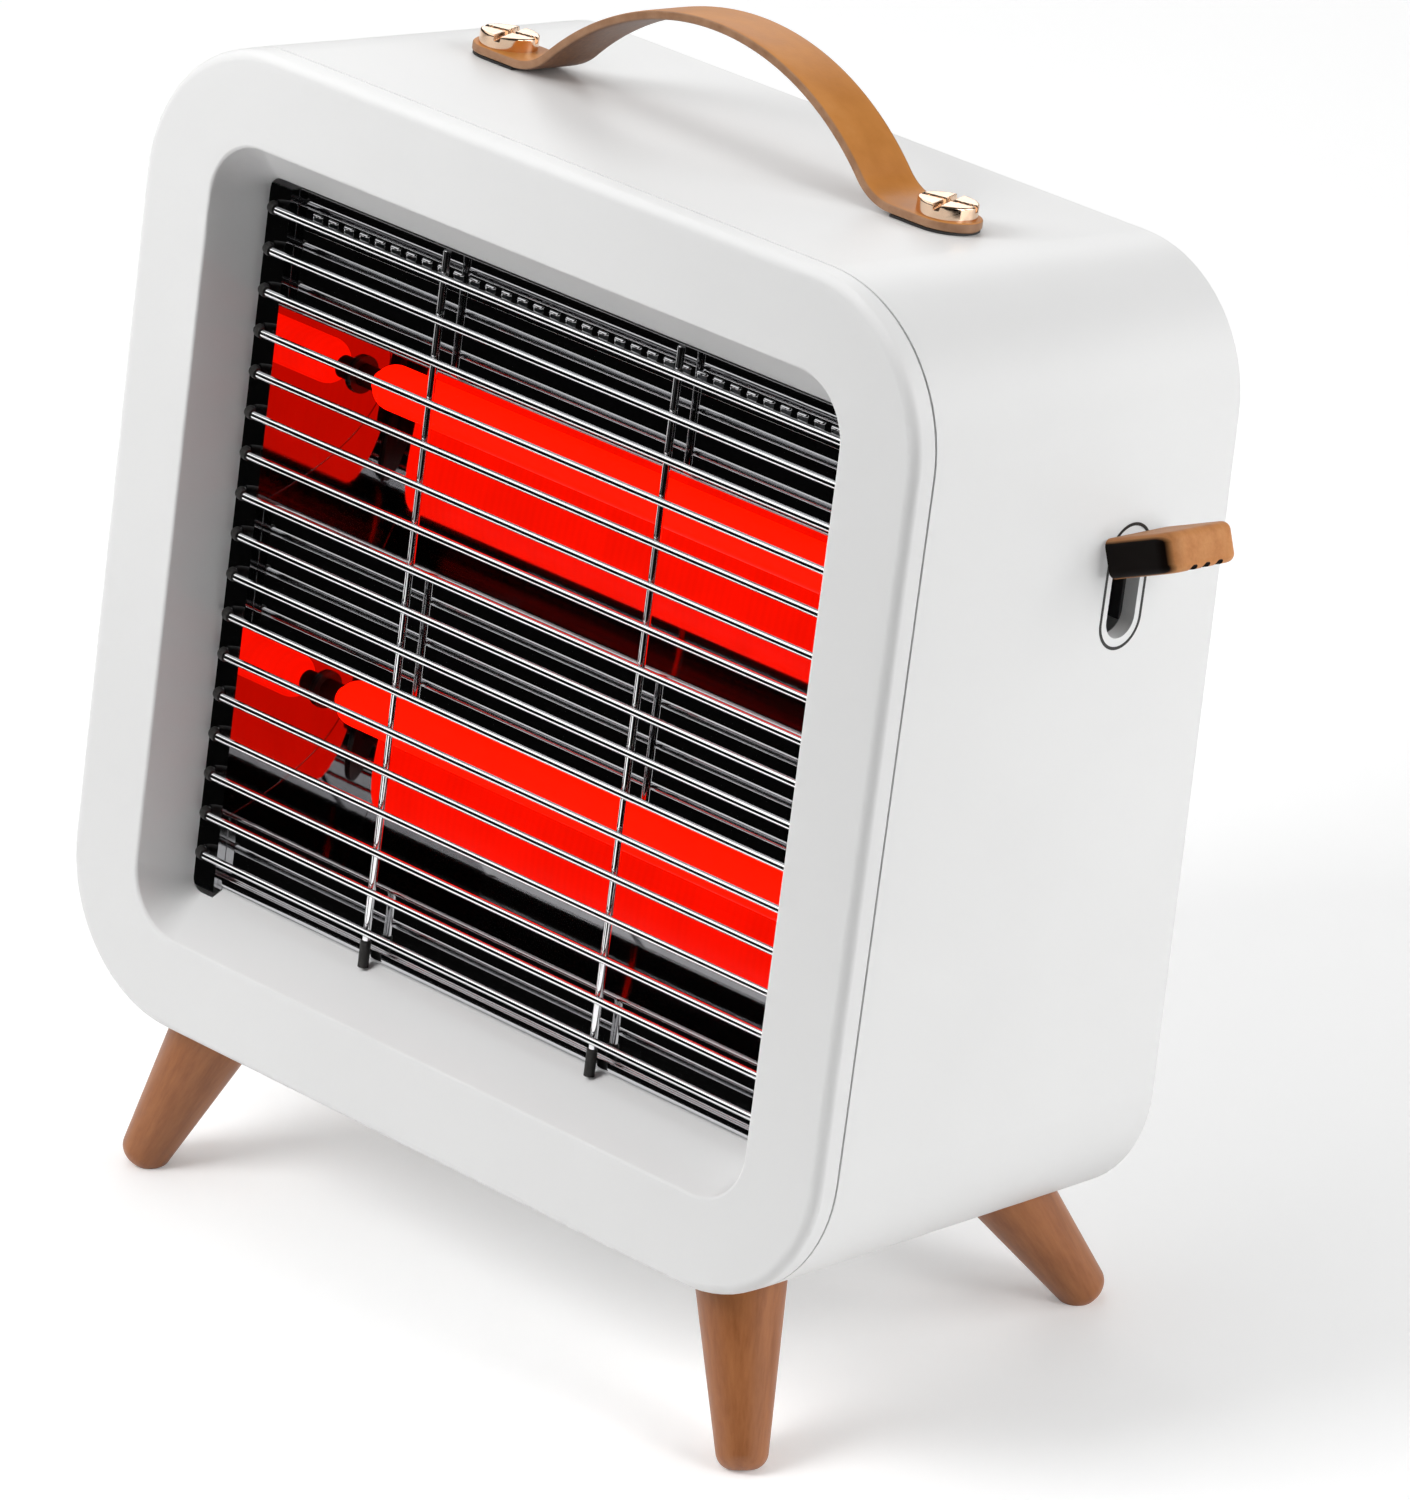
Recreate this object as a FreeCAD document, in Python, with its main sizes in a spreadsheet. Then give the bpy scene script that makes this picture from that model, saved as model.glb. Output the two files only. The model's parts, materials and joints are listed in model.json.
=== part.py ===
import FreeCAD, Part
import math
import os
from types import SimpleNamespace

import Sketcher
from FreeCAD import Placement, Rotation, Vector

# A portable infrared heater: a white case that leans back on four turned legs, with a wire guard in its
# mouth, two quartz tubes in a polished double trough, a leather carrying strap and a lever on its right.
# The case is described in its own frame: X to the right, Y from the front face to the back, Z up the front
# face, zero at the middle of that face. It is then leaned back and raised until the feet stand on Z = 0.

# Lengths are in millimetres and angles in degrees.
SIZES = {
    # The case as a whole
    "body_width": 270.0,
    "body_height": 260.0,
    "corner_radius": 40.5,
    "shell_depth": 123.0,
    "draft_angle": 2.1,
    "rear_lean": 1.8,
    "wall": 2.6,
    "lean_angle": 9.6,
    "front_clearance": 47.0,
    "overrun": 1.0,
    "seat_gap": 0.1,
    # Front bezel
    "bezel_face": 3.0,
    "bezel_rim": 6.9,
    "seam_gap": 0.7,
    "edge_round": 2.6,
    "border_side": 24.5,
    "border_level": 24.15,
    "mouth_radius": 16.4,
    "mouth_round": 0.9,
    "throat_radius": 3.5,
    "funnel_depth": 16.0,
    "funnel_side": 5.2,
    "funnel_roof": 11.7,
    "funnel_floor": 8.0,
    "funnel_wall": 2.0,
    "apron_gap": 0.2,
    "tongue_depth": 5.0,
    "tongue_wall": 2.0,
    "tongue_gap": 0.2,
    "post_radius": 4.0,
    "post_inset": 17.0,
    "post_drop": 60.0,
    # Lugs inside the case that take the bezel and the rear cover
    "lug_place": 50.0,
    "lug_width": 12.0,
    "lug_drop": 13.0,
    "lug_depth": 4.0,
    "lug_front": 14.0,
    "lug_screw_drop": 8.0,
    # Tapping screws
    "tapping_radius": 1.5,
    "tapping_length": 9.0,
    "tapping_head_radius": 2.9,
    "tapping_head_height": 1.8,
    # Wire guard
    "guard_wire": 2.0,
    "guard_count": 17,
    "guard_top_margin": 7.65,
    "guard_low_margin": 10.95,
    "guard_plane": 14.25,
    "guard_side_gap": 0.5,
    "guard_bend": 3.0,
    "guard_tail": 22.0,
    "upright_place": 41.15,
    "upright_end_gap": 0.85,
    "weld_gap": 0.02,
    "ferrule_radius": 1.4,
    "ferrule_length": 7.0,
    "ferrule_gap": 0.05,
    "sleeve_turn": 75.0,
    # Reflector, its end plates and the heat shield
    "plate_inset": 6.7,
    "plate_front": 17.05,
    "plate_rear": 70.0,
    "plate_thick": 0.6,
    "plate_top_inset": 2.15,
    "plate_low_inset": 0.85,
    "flange_margin": 5.0,
    "trough_front": 20.0,
    "trough_above": 21.0,
    "trough_below": 29.8,
    "trough_back": 8.0,
    "trough_aim": 11.4,
    "trough_steps": 14,
    "hem_depth": 1.6,
    "hem_height": 3.0,
    "hem_lift": 1.6,
    "sheet_shift": 1.2,
    "air_slot_length": 3.4,
    "air_slot_height": 1.4,
    "air_slot_margin": 7.4,
    "air_slot_count": 33,
    "air_slot_drop": 6.0,
    "shield_thick": 0.8,
    "shield_margin": 4.0,
    "shield_drop": 2.0,
    # Heating tubes
    "tube_depth": 49.2,
    "tube_radius": 6.05,
    "tube_end_gap": 6.7,
    "tube_wall": 1.0,
    "stub_radius": 3.0,
    "stub_overreach": 7.0,
    "filament_radius": 3.2,
    "holder_radius": 5.0,
    "holder_inside": 1.0,
    "holder_outside": 12.0,
    "holder_flange_radius": 8.0,
    "holder_flange_thick": 2.0,
    "tab_length": 7.0,
    "tab_width": 6.3,
    "tab_thick": 0.8,
    "lead_radius": 1.4,
    # Selector lever, its switch and the slot plate in the right side
    "lever_depth": 85.2,
    "lever_level": 50.5,
    "pivot_inset": 23.0,
    "lever_raise": 22.0,
    "hub_radius": 6.0,
    "hub_length": 8.0,
    "pin_radius": 2.0,
    "pin_fit": 0.05,
    "stem_width": 7.0,
    "stem_thick": 5.8,
    "paddle_start": 24.7,
    "paddle_length": 21.2,
    "paddle_width": 25.0,
    "paddle_thick": 10.0,
    "paddle_shift": 1.1,
    "paddle_corner": 5.0,
    "paddle_round": 2.2,
    "grip_radius": 1.3,
    "grip_pitch": 4.6,
    "grip_length": 6.0,
    "slot_plate_width": 14.4,
    "slot_plate_height": 31.4,
    "slot_plate_gap": 0.4,
    "slot_plate_depth": 7.2,
    "slot_plate_lip": 2.0,
    "slot_plate_lip_thick": 1.2,
    "slot_width": 10.6,
    "slot_height": 26.8,
    "cheek_thick": 5.6,
    "cheek_gap": 0.3,
    "cheek_height": 21.0,
    "switch_setback": 20.0,
    "switch_block": 10.0,
    "switch_height": 26.0,
    # Strap handle and what holds it
    "strap_width": 18.0,
    "strap_thick": 2.5,
    "strap_inset": 58.5,
    "strap_foot_inset": 10.5,
    "strap_rise": 27.6,
    "strap_bend": 16.0,
    "strap_pad": 0.6,
    "strap_pad_inset": 0.3,
    "strap_screw_radius": 2.0,
    "strap_head_radius": 7.6,
    "strap_head_height": 3.5,
    "strap_head_edge": 0.6,
    "strap_head_slot": 1.8,
    "strap_head_slot_depth": 1.6,
    "strap_nut_radius": 4.0,
    "strap_nut_height": 4.0,
    # Turned legs and what holds them
    "foot_inset": 24.0,
    "front_foot_inset": 6.0,
    "rear_foot_outset": 4.0,
    "leg_side_splay": 20.6,
    "leg_front_splay": 19.7,
    "leg_rear_splay": 28.0,
    "leg_tip_radius": 6.1,
    "leg_taper": 6.6,
    "leg_cap": 18.0,
    "leg_tip_round": 4.6,
    "leg_foot_flat": 0.5,
    "stud_radius": 3.0,
    "stud_start": 20.0,
    "stud_gap": 0.05,
    "leg_seat_radius": 8.5,
    "leg_seat_height": 11.0,
    "leg_nut_radius": 5.2,
    "leg_nut_height": 4.5,
    # Rear cover
    "cover_recess": 1.2,
    "cover_thick": 2.4,
    "cover_gap": 0.3,
    "vent_gap": 7.5,
    "vent_height": 3.4,
    "vent_pitch": 9.0,
    "vent_top_count": 8,
    "vent_top_drop": 95.0,
    "vent_low_count": 5,
    "vent_low_rise": 44.0,
    "gland_inset": 43.0,
    "gland_rise": 42.0,
    "gland_radius": 7.0,
    "gland_bore": 3.6,
    "gland_flange_radius": 9.5,
    "gland_flange_thick": 2.0,
    "gland_length": 12.0,
    # Parts on the back of the heat shield
    "cutout_place": -40.0,
    "cutout_drop": 30.0,
    "cutout_radius": 8.0,
    "cutout_depth": 9.0,
    "block_place": 40.0,
    "block_rise": 33.0,
    "block_width": 34.0,
    "block_height": 16.0,
    "block_depth": 13.0,
    # Tilt switch on the floor of the case
    "tilt_ahead": 23.0,
    "tilt_rise": 42.0,
    "tilt_cheek_place": 10.0,
    "tilt_cheek_thick": 2.0,
    "tilt_cheek_width": 14.0,
    "tilt_cheek_top": 6.0,
    "tilt_base_rise": 12.0,
    "tilt_base_ahead": 24.0,
    "tilt_pin_radius": 1.5,
    "tilt_hub_radius": 4.0,
    "tilt_hub_gap": 0.4,
    "bob_rod_radius": 1.6,
    "bob_drop": 18.0,
    "bob_radius": 5.5,
    "bob_height": 7.0,
    "micro_ahead": 23.0,
    "micro_depth": 8.0,
    "micro_height": 14.0,
    "micro_width": 16.0,
}

# How the reflector's flat strips share the height that its two troughs leave; the lowest has the rest
STRIP_SHARES = {"top": 0.363, "ridge": 0.397}

doc = FreeCAD.newDocument("infrared_heater")
sheet = doc.addObject("Spreadsheet::Sheet", "Sizes")
for row, (word, number) in enumerate(SIZES.items(), start=1):
    sheet.set(f"A{row}", word)
    sheet.set(f"B{row}", str(number))
    sheet.setAlias(f"B{row}", word)
doc.recompute()


class Size:
    """A number that carries the spreadsheet formula that it comes from."""

    def __init__(self, value, formula):
        self.value = value
        self.formula = formula

    def __add__(self, other):
        other = as_size(other)
        return Size(self.value + other.value, f"({self.formula} + {other.formula})")

    def __sub__(self, other):
        other = as_size(other)
        return Size(self.value - other.value, f"({self.formula} - {other.formula})")

    def __mul__(self, other):
        other = as_size(other)
        return Size(self.value * other.value, f"({self.formula} * {other.formula})")

    def __truediv__(self, other):
        other = as_size(other)
        return Size(self.value / other.value, f"({self.formula} / {other.formula})")

    def __neg__(self):
        return Size(-self.value, f"(0 - {self.formula})")

    def __rmul__(self, other):
        return as_size(other) * self


def as_size(number):
    """A plain number, such as a count, as a Size."""
    return number if isinstance(number, Size) else Size(float(number), str(number))


def tangent(angle):
    return Size(math.tan(math.radians(angle.value)), f"tan({angle.formula} * 1 deg)")


def sine(angle):
    return Size(math.sin(math.radians(angle.value)), f"sin({angle.formula} * 1 deg)")


def cosine(angle):
    return Size(math.cos(math.radians(angle.value)), f"cos({angle.formula} * 1 deg)")


def root(amount):
    return Size(math.sqrt(amount.value), f"sqrt({amount.formula})")


d = SimpleNamespace(**{word: Size(sheet.get(word), f"Sizes.{word}") for word in SIZES})
ZERO = as_size(0)
SIDES = {"left": -1, "right": 1}
PLUS_X = Vector(1, 0, 0)
PLUS_Y = Vector(0, 1, 0)
PLUS_Z = Vector(0, 0, 1)
TURN_TO = {"x": Rotation(PLUS_Z, PLUS_X), "y": Rotation(PLUS_Z, PLUS_Y), "z": Rotation()}


def fall(depth):
    """How far the case has drawn in, on each side, at a depth behind its front edge."""
    return tangent(d.draft_angle) * (depth - seat)


# Places that several pieces share, worked out from the sizes
seat = d.bezel_rim + d.seam_gap
half_width = d.body_width / 2
half_height = d.body_height / 2
mouth_width = d.body_width - 2 * d.border_side
mouth_height = d.body_height - 2 * d.border_level
throat_side = mouth_width / 2 - d.funnel_side
throat_top = mouth_height / 2 - d.funnel_roof
throat_foot = mouth_height / 2 - d.funnel_floor
post_place = half_width - d.post_inset
post_level = half_height - d.post_drop
guard_reach = throat_side - d.guard_side_gap
guard_top = throat_top - d.guard_top_margin
guard_pitch = (guard_top + throat_foot - d.guard_low_margin) / (d.guard_count - 1)
upright_top = throat_top - d.upright_end_gap
upright_foot = throat_foot - d.upright_end_gap
plate_place = throat_side - d.plate_inset
plate_top = throat_top - d.plate_top_inset
plate_bottom = throat_foot - d.plate_low_inset
flange_reach = post_place + d.flange_margin
strips = plate_top + plate_bottom - (d.trough_above + d.trough_below) * 2
tube_high = plate_top - strips * STRIP_SHARES["top"] - d.trough_above
tube_low = tube_high - d.trough_below - strips * STRIP_SHARES["ridge"] - d.trough_above
air_slot_level = plate_top - d.air_slot_drop
air_slot_pitch = (plate_place - d.air_slot_margin) * 2 / (d.air_slot_count - 1)
shield_reach = plate_place + d.shield_margin
shield_top = plate_top - d.shield_drop
shield_bottom = plate_bottom - d.shield_drop
tube_reach = plate_place - d.tube_end_gap
stub_reach = plate_place + d.stub_overreach
holder_inner = plate_place - d.holder_inside
holder_outer = plate_place + d.holder_outside
lever_pivot = half_width - d.pivot_inset
slot_plate_back = half_width - d.slot_plate_depth
switch_back = lever_pivot - d.switch_setback
strap_depth = (seat + d.shell_depth) / 2
strap_hole_place = half_width - d.strap_inset
strap_foot = strap_hole_place - d.strap_foot_inset
cover_drop = fall(d.shell_depth) + d.wall
gland_place = half_width - d.gland_inset
gland_level = d.gland_rise - half_height
vent_reach = gland_place - d.gland_flange_radius - d.vent_gap
vent_top_level = half_height - d.vent_top_drop
vent_low_level = d.vent_low_rise - half_height
cutout_level = shield_top - d.cutout_drop
block_level = d.block_rise - shield_bottom
tilt_depth = d.shell_depth - d.tilt_ahead
tilt_level = d.tilt_rise - half_height
tilt_base_top = d.tilt_base_rise - half_height

# The leaning case over its feet: how far its lower edges lie behind the middle of its front face
front_edge = -half_height * sine(d.lean_angle)
rear_edge_depth = d.shell_depth + half_height * tangent(d.rear_lean)
rear_edge_level = fall(d.shell_depth) - half_height
rear_edge = rear_edge_depth * cosine(d.lean_angle) + rear_edge_level * sine(d.lean_angle)
front_foot = front_edge + d.front_foot_inset
rear_foot = rear_edge + d.rear_foot_outset
centre_ahead = (front_foot + rear_foot) / 2
centre_height = half_height * cosine(d.lean_angle) + d.front_clearance
foot_reach = (rear_foot - front_foot) / 2
foot_spread = half_width - d.foot_inset

# Frames that pieces are placed in
front_middle = Vector(0, -centre_ahead.value, centre_height.value)
LEAN = Placement(front_middle, Rotation(PLUS_X, -d.lean_angle.value))
REAR = Placement(Vector(0, d.shell_depth.value, 0), Rotation(PLUS_X, d.rear_lean.value))
top_level = half_height - fall(strap_depth)
TOP = Placement(Vector(0, strap_depth.value, top_level.value), Rotation(PLUS_X, -d.draft_angle.value))
lever_place = Vector(lever_pivot.value, d.lever_depth.value, d.lever_level.value)
LEVER = Placement(lever_place, Rotation(PLUS_Y, -d.lever_raise.value))
CASE = Placement()
nodes = []


def bind(thing, prop, amount):
    thing.setExpression(prop, as_size(amount).formula)


def node(thing, label, frame=None):
    """Names a finished piece and sets it in its frame; without a frame it already stands on the floor."""
    thing.Label = label
    if frame is not None:
        thing.Placement = LEAN.multiply(frame)
    nodes.append(thing)
    return thing


def block(name, x, y, z):
    """A box, each pair being its low and high side."""
    box = doc.addObject("Part::Box", name)
    for prop, axis, (low, high) in zip(("Length", "Width", "Height"), "xyz", (x, y, z)):
        bind(box, prop, as_size(high) - low)
        bind(box, f"Placement.Base.{axis}", low)
    return box


def rod(name, axis, radius, start, length):
    """A cylinder from a start point along an axis."""
    cylinder = doc.addObject("Part::Cylinder", name)
    cylinder.Placement = Placement(Vector(), TURN_TO[axis])
    bind(cylinder, "Radius", radius)
    bind(cylinder, "Height", length)
    for letter, place in zip("xyz", start):
        bind(cylinder, f"Placement.Base.{letter}", place)
    return cylinder


def union(name, pieces):
    fuse = doc.addObject("Part::MultiFuse", name)
    fuse.Shapes = pieces
    return fuse


def group(name, pieces):
    compound = doc.addObject("Part::Compound", name)
    compound.Links = pieces
    return compound


def minus(name, base, tools):
    cut = doc.addObject("Part::Cut", name)
    cut.Base = base
    cut.Tool = tools[0] if len(tools) == 1 else union(f"{name}_tools", tools)
    return cut


def overlap(name, first, second):
    common = doc.addObject("Part::Common", name)
    common.Base = first
    common.Tool = second
    return common


def placed(name, pieces, frame):
    """Pieces set in a frame, for use in a cut or a union."""
    compound = group(name, pieces)
    compound.Placement = frame
    return compound


def new_body(name):
    return doc.addObject("PartDesign::Body", name)


def new_sketch(body, role, offset=ZERO):
    """A sketch on one of the body's own planes, moved along the plane's normal."""
    sketch = body.newObject("Sketcher::SketchObject", f"{body.Name}_sketch")
    plane = next(feature for feature in body.Origin.OriginFeatures if feature.Role == role)
    sketch.AttachmentSupport = (plane, [""])
    sketch.MapMode = "FlatFace"
    bind(sketch, "AttachmentOffset.Base.z", offset)
    return sketch


def constrain(sketch, kind, places, amount):
    """Adds a dimension to a sketch and ties it to its formula."""
    index = sketch.addConstraint(Sketcher.Constraint(kind, *places, as_size(amount).value))
    bind(sketch, f"Constraints[{index}]", amount)


def polygon(sketch, points):
    """A closed outline of straight lines, each corner tied to its two coordinates."""
    corners = [Vector(as_size(u).value, as_size(v).value, 0) for u, v in points]
    ends = corners[1:] + corners[:1]
    for begin, end in zip(corners, ends):
        sketch.addGeometry(Part.LineSegment(begin, end), False)
    for index, (u, v) in enumerate(points):
        before = (index - 1) % len(points)
        sketch.addConstraint(Sketcher.Constraint("Coincident", before, 2, index, 1))
        constrain(sketch, "DistanceX", (-1, 1, index, 1), u)
        constrain(sketch, "DistanceY", (-1, 1, index, 1), v)


def rounded_outline(sketch, width, height, radius, lowered=ZERO):
    """A rectangle about the origin with equal round corners, its top edge lowered by an amount."""
    a, b, r = width.value / 2, height.value / 2, radius.value
    top = b - lowered.value
    runs = [((r - a, -b), (a - r, -b)), ((a, r - b), (a, top - r)),
            ((a - r, top), (r - a, top)), ((-a, top - r), (-a, r - b))]
    hubs = [(a - r, r - b), (a - r, top - r), (r - a, top - r), (r - a, r - b)]
    for quarter, ((begin, end), hub) in enumerate(zip(runs, hubs)):
        sketch.addGeometry(Part.LineSegment(Vector(*begin, 0), Vector(*end, 0)), False)
        circle = Part.Circle(Vector(*hub, 0), PLUS_Z, r)
        first = (quarter - 1) * math.pi / 2
        sketch.addGeometry(Part.ArcOfCircle(circle, first, first + math.pi / 2), False)
    for index in range(8):
        sketch.addConstraint(Sketcher.Constraint("Tangent", index, 2, (index + 1) % 8, 1))
    for index, kind in enumerate(("Horizontal", "Vertical") * 2):
        sketch.addConstraint(Sketcher.Constraint(kind, 2 * index))
    for corner in (3, 5, 7):
        sketch.addConstraint(Sketcher.Constraint("Equal", 1, corner))
    constrain(sketch, "DistanceX", (-1, 1, 2, 1), width / 2)
    constrain(sketch, "DistanceX", (6, 1, -1, 1), width / 2)
    constrain(sketch, "DistanceY", (-1, 1, 4, 1), height / 2 - lowered)
    constrain(sketch, "DistanceY", (0, 1, -1, 1), height / 2)
    constrain(sketch, "Radius", (1,), radius)


def rounded_sketch(body, depth, width, height, radius, lowered=ZERO):
    """A rounded rectangle across the case at a depth behind its front face."""
    sketch = new_sketch(body, "XZ_Plane", -as_size(depth))
    rounded_outline(sketch, width, height, radius, lowered)
    return sketch


def pad_back(body, sketch, length):
    """Thickens a cross section towards the back."""
    pad = body.newObject("PartDesign::Pad", f"{body.Name}_pad")
    pad.Profile = sketch
    pad.Reversed = True
    bind(pad, "Length", length)
    return pad


def loft(body, kind, first, second):
    feature = body.newObject(f"PartDesign::{kind}", f"{body.Name}_loft")
    feature.Profile = first
    feature.Sections = [second]
    feature.Ruled = True
    return feature


def fillet(body, base, radius, picked):
    """Rounds the edges of a feature that a test picks."""
    doc.recompute()
    edges = [f"Edge{number}" for number, edge in enumerate(base.Shape.Edges, start=1) if picked(edge)]
    feature = body.newObject("PartDesign::Fillet", f"{body.Name}_fillet")
    feature.Base = (base, edges)
    bind(feature, "Radius", radius)
    return feature


def revolve_about_z(body, points):
    """Turns a half outline of (radius, height) points about the Z axis."""
    sketch = new_sketch(body, "XZ_Plane")
    polygon(sketch, points)
    turned = body.newObject("PartDesign::Revolution", f"{body.Name}_turned")
    turned.Profile = sketch
    turned.ReferenceAxis = (sketch, ["V_Axis"])
    turned.Angle = 360
    return turned


def tapping_screw(name, x, y, z):
    """A screw that points to the front, with the underside of its head at the given place."""
    shank = rod(f"{name}_shank", "y", d.tapping_radius, (x, y - d.tapping_length, z), d.tapping_length)
    head = rod(f"{name}_head", "y", d.tapping_head_radius, (x, y, z), d.tapping_head_height)
    return union(name, [shank, head])


def tapping_bore(name, x, y, z):
    """The hole that such a screw fills, with its clearance."""
    length = d.tapping_length + d.overrun
    return rod(name, "y", d.tapping_radius + d.seat_gap, (x, y - length, z), length + d.overrun)


def four_places(across, upwards):
    """The four mirrored places of a pattern, with a name for each."""
    return {f"{side}_{level}": (across * sign, upwards * turn)
            for side, sign in SIDES.items() for level, turn in (("low", -1), ("high", 1))}


# Outer and inner surface of the drawn-in case

def case_solid(name, grow):
    """The case as a solid, its outer surface moved outwards by an amount."""
    body = new_body(name)
    front = rounded_sketch(body, seat, d.body_width + 2 * grow, d.body_height + 2 * grow,
                           d.corner_radius + grow)
    drawn = grow - fall(d.shell_depth)
    rear = rounded_sketch(body, d.shell_depth, d.body_width + 2 * drawn, d.body_height + 2 * drawn,
                          d.corner_radius + drawn)
    rear.setExpression("AttachmentOffset.Base.z", None)
    rear_middle = Vector(0, 0, -d.shell_depth.value)
    rear.AttachmentOffset = Placement(rear_middle, Rotation(PLUS_X, d.rear_lean.value))
    loft(body, "AdditiveLoft", front, rear)
    return body


def lever_slot_prism(name, grow, width, height, x_low, x_high):
    """An upright slot shape through the right side, about the lever's middle."""
    radius = width / 2 + grow
    reach = height / 2 - width / 2
    low, high = d.lever_level - reach, d.lever_level + reach
    sides = (d.lever_depth - radius, d.lever_depth + radius)
    pieces = [block(f"{name}_middle", (x_low, x_high), sides, (low, high))]
    for end, level in (("low", low), ("high", high)):
        pieces.append(rod(f"{name}_{end}", "x", radius, (x_low, d.lever_depth, level), x_high - x_low))
    return union(name, pieces)


# Legs: each leg has a frame with its foot at the origin and its axis up

def leg_frames():
    frames = {}
    for end, sign, splay in (("front", -1, d.leg_front_splay), ("rear", 1, d.leg_rear_splay)):
        for side, hand in SIDES.items():
            axis = Vector(-hand * math.tan(math.radians(d.leg_side_splay.value)),
                          -sign * math.tan(math.radians(splay.value)), 1)
            foot = Vector(hand * foot_spread.value, sign * foot_reach.value, 0)
            frames[f"{end}_{side}"] = Placement(foot, Rotation(PLUS_Z, axis))
    return frames


LEGS = leg_frames()


def leg_climb(place):
    """Length of a leg's axis from the floor to where it meets the sloping bottom of the case."""
    front = place.startswith("front")
    turn = -1 if front else 1
    run = tangent(d.leg_front_splay if front else d.leg_rear_splay) * -turn
    side = tangent(d.leg_side_splay)
    sine_lean, cosine_lean, draft = sine(d.lean_angle), cosine(d.lean_angle), tangent(d.draft_angle)
    foot = foot_reach * turn + centre_ahead
    depth = foot * cosine_lean + centre_height * sine_lean
    level = foot * sine_lean - centre_height * cosine_lean
    depth_run = run * cosine_lean - sine_lean
    level_run = run * sine_lean + cosine_lean
    rise = -(level + half_height - draft * (depth - seat)) / (level_run - draft * depth_run)
    return rise * root(as_size(1) + run * run + side * side)


def leg_rod(name, place, radius, start, length):
    """A cylinder on a leg's axis."""
    return placed(name, [rod(f"{name}_rod", "z", radius, (ZERO, ZERO, start), length)], LEGS[place])


def stud_bore(name, place):
    """The hole for a leg's stud, through all that it holds together."""
    return leg_rod(name, place, d.stud_radius + d.stud_gap, d.stud_start, leg_climb(place) + d.leg_cap)


def build_shell():
    outer = case_solid("shell_outside", ZERO)
    inner = case_solid("shell_inside", -d.wall)
    tube = minus("shell_tube", outer, [inner])
    lugs = []
    holes = []
    lug_half = d.lug_width / 2
    for name, (x, turn) in four_places(d.lug_place, as_size(1)).items():
        root = (half_height - d.wall / 2 - fall(d.lug_front)) * turn
        tip = root - d.lug_drop * turn
        levels = (tip, root) if turn.value > 0 else (root, tip)
        lugs.append(block(f"front_lug_{name}", (x - lug_half, x + lug_half),
                          (d.lug_front, d.lug_front + d.lug_depth), levels))
        holes.append(tapping_bore(f"front_lug_hole_{name}", x, d.lug_front + d.lug_depth,
                                  bezel_screw_level(turn)))
    back = -(d.cover_recess + d.cover_thick)
    rear_lugs = []
    rear_holes = []
    for name, (x, turn) in four_places(d.lug_place, as_size(1)).items():
        root = (half_height - d.wall / 2 - fall(d.shell_depth)) * turn
        tip = root - d.lug_drop * turn
        levels = (tip, root) if turn.value > 0 else (root, tip)
        rear_lugs.append(block(f"rear_lug_{name}", (x - lug_half, x + lug_half),
                               (back - d.lug_depth * 2, back), levels))
        rear_holes.append(tapping_bore(f"rear_lug_hole_{name}", x, -d.cover_recess,
                                       cover_screw_level(turn)))
    holes.append(placed("rear_lug_holes", rear_holes, REAR))
    for side, hand in SIDES.items():
        hole = strap_bore(f"strap_hole_{side}", strap_hole_place * hand)
        holes.append(placed(f"strap_hole_{side}_place", [hole], TOP))
    holes.append(lever_slot_prism("shell_slot", d.slot_plate_gap, d.slot_plate_width, d.slot_plate_height,
                                  slot_plate_back, half_width + d.overrun))
    lugged = union("shell_lugged", [tube] + lugs + [placed("rear_lugs", rear_lugs, REAR)])
    holed = minus("shell_holed", lugged, holes)
    holed.Placement = LEAN
    bores = [stud_bore(f"shell_stud_bore_{place}", place) for place in LEGS]
    node(minus("shell", holed, bores), "body_shell")


def bezel_screw_level(turn):
    return (half_height - d.wall - d.lug_screw_drop) * turn


def cover_screw_level(turn):
    return (half_height - cover_drop - d.lug_screw_drop) * turn


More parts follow.
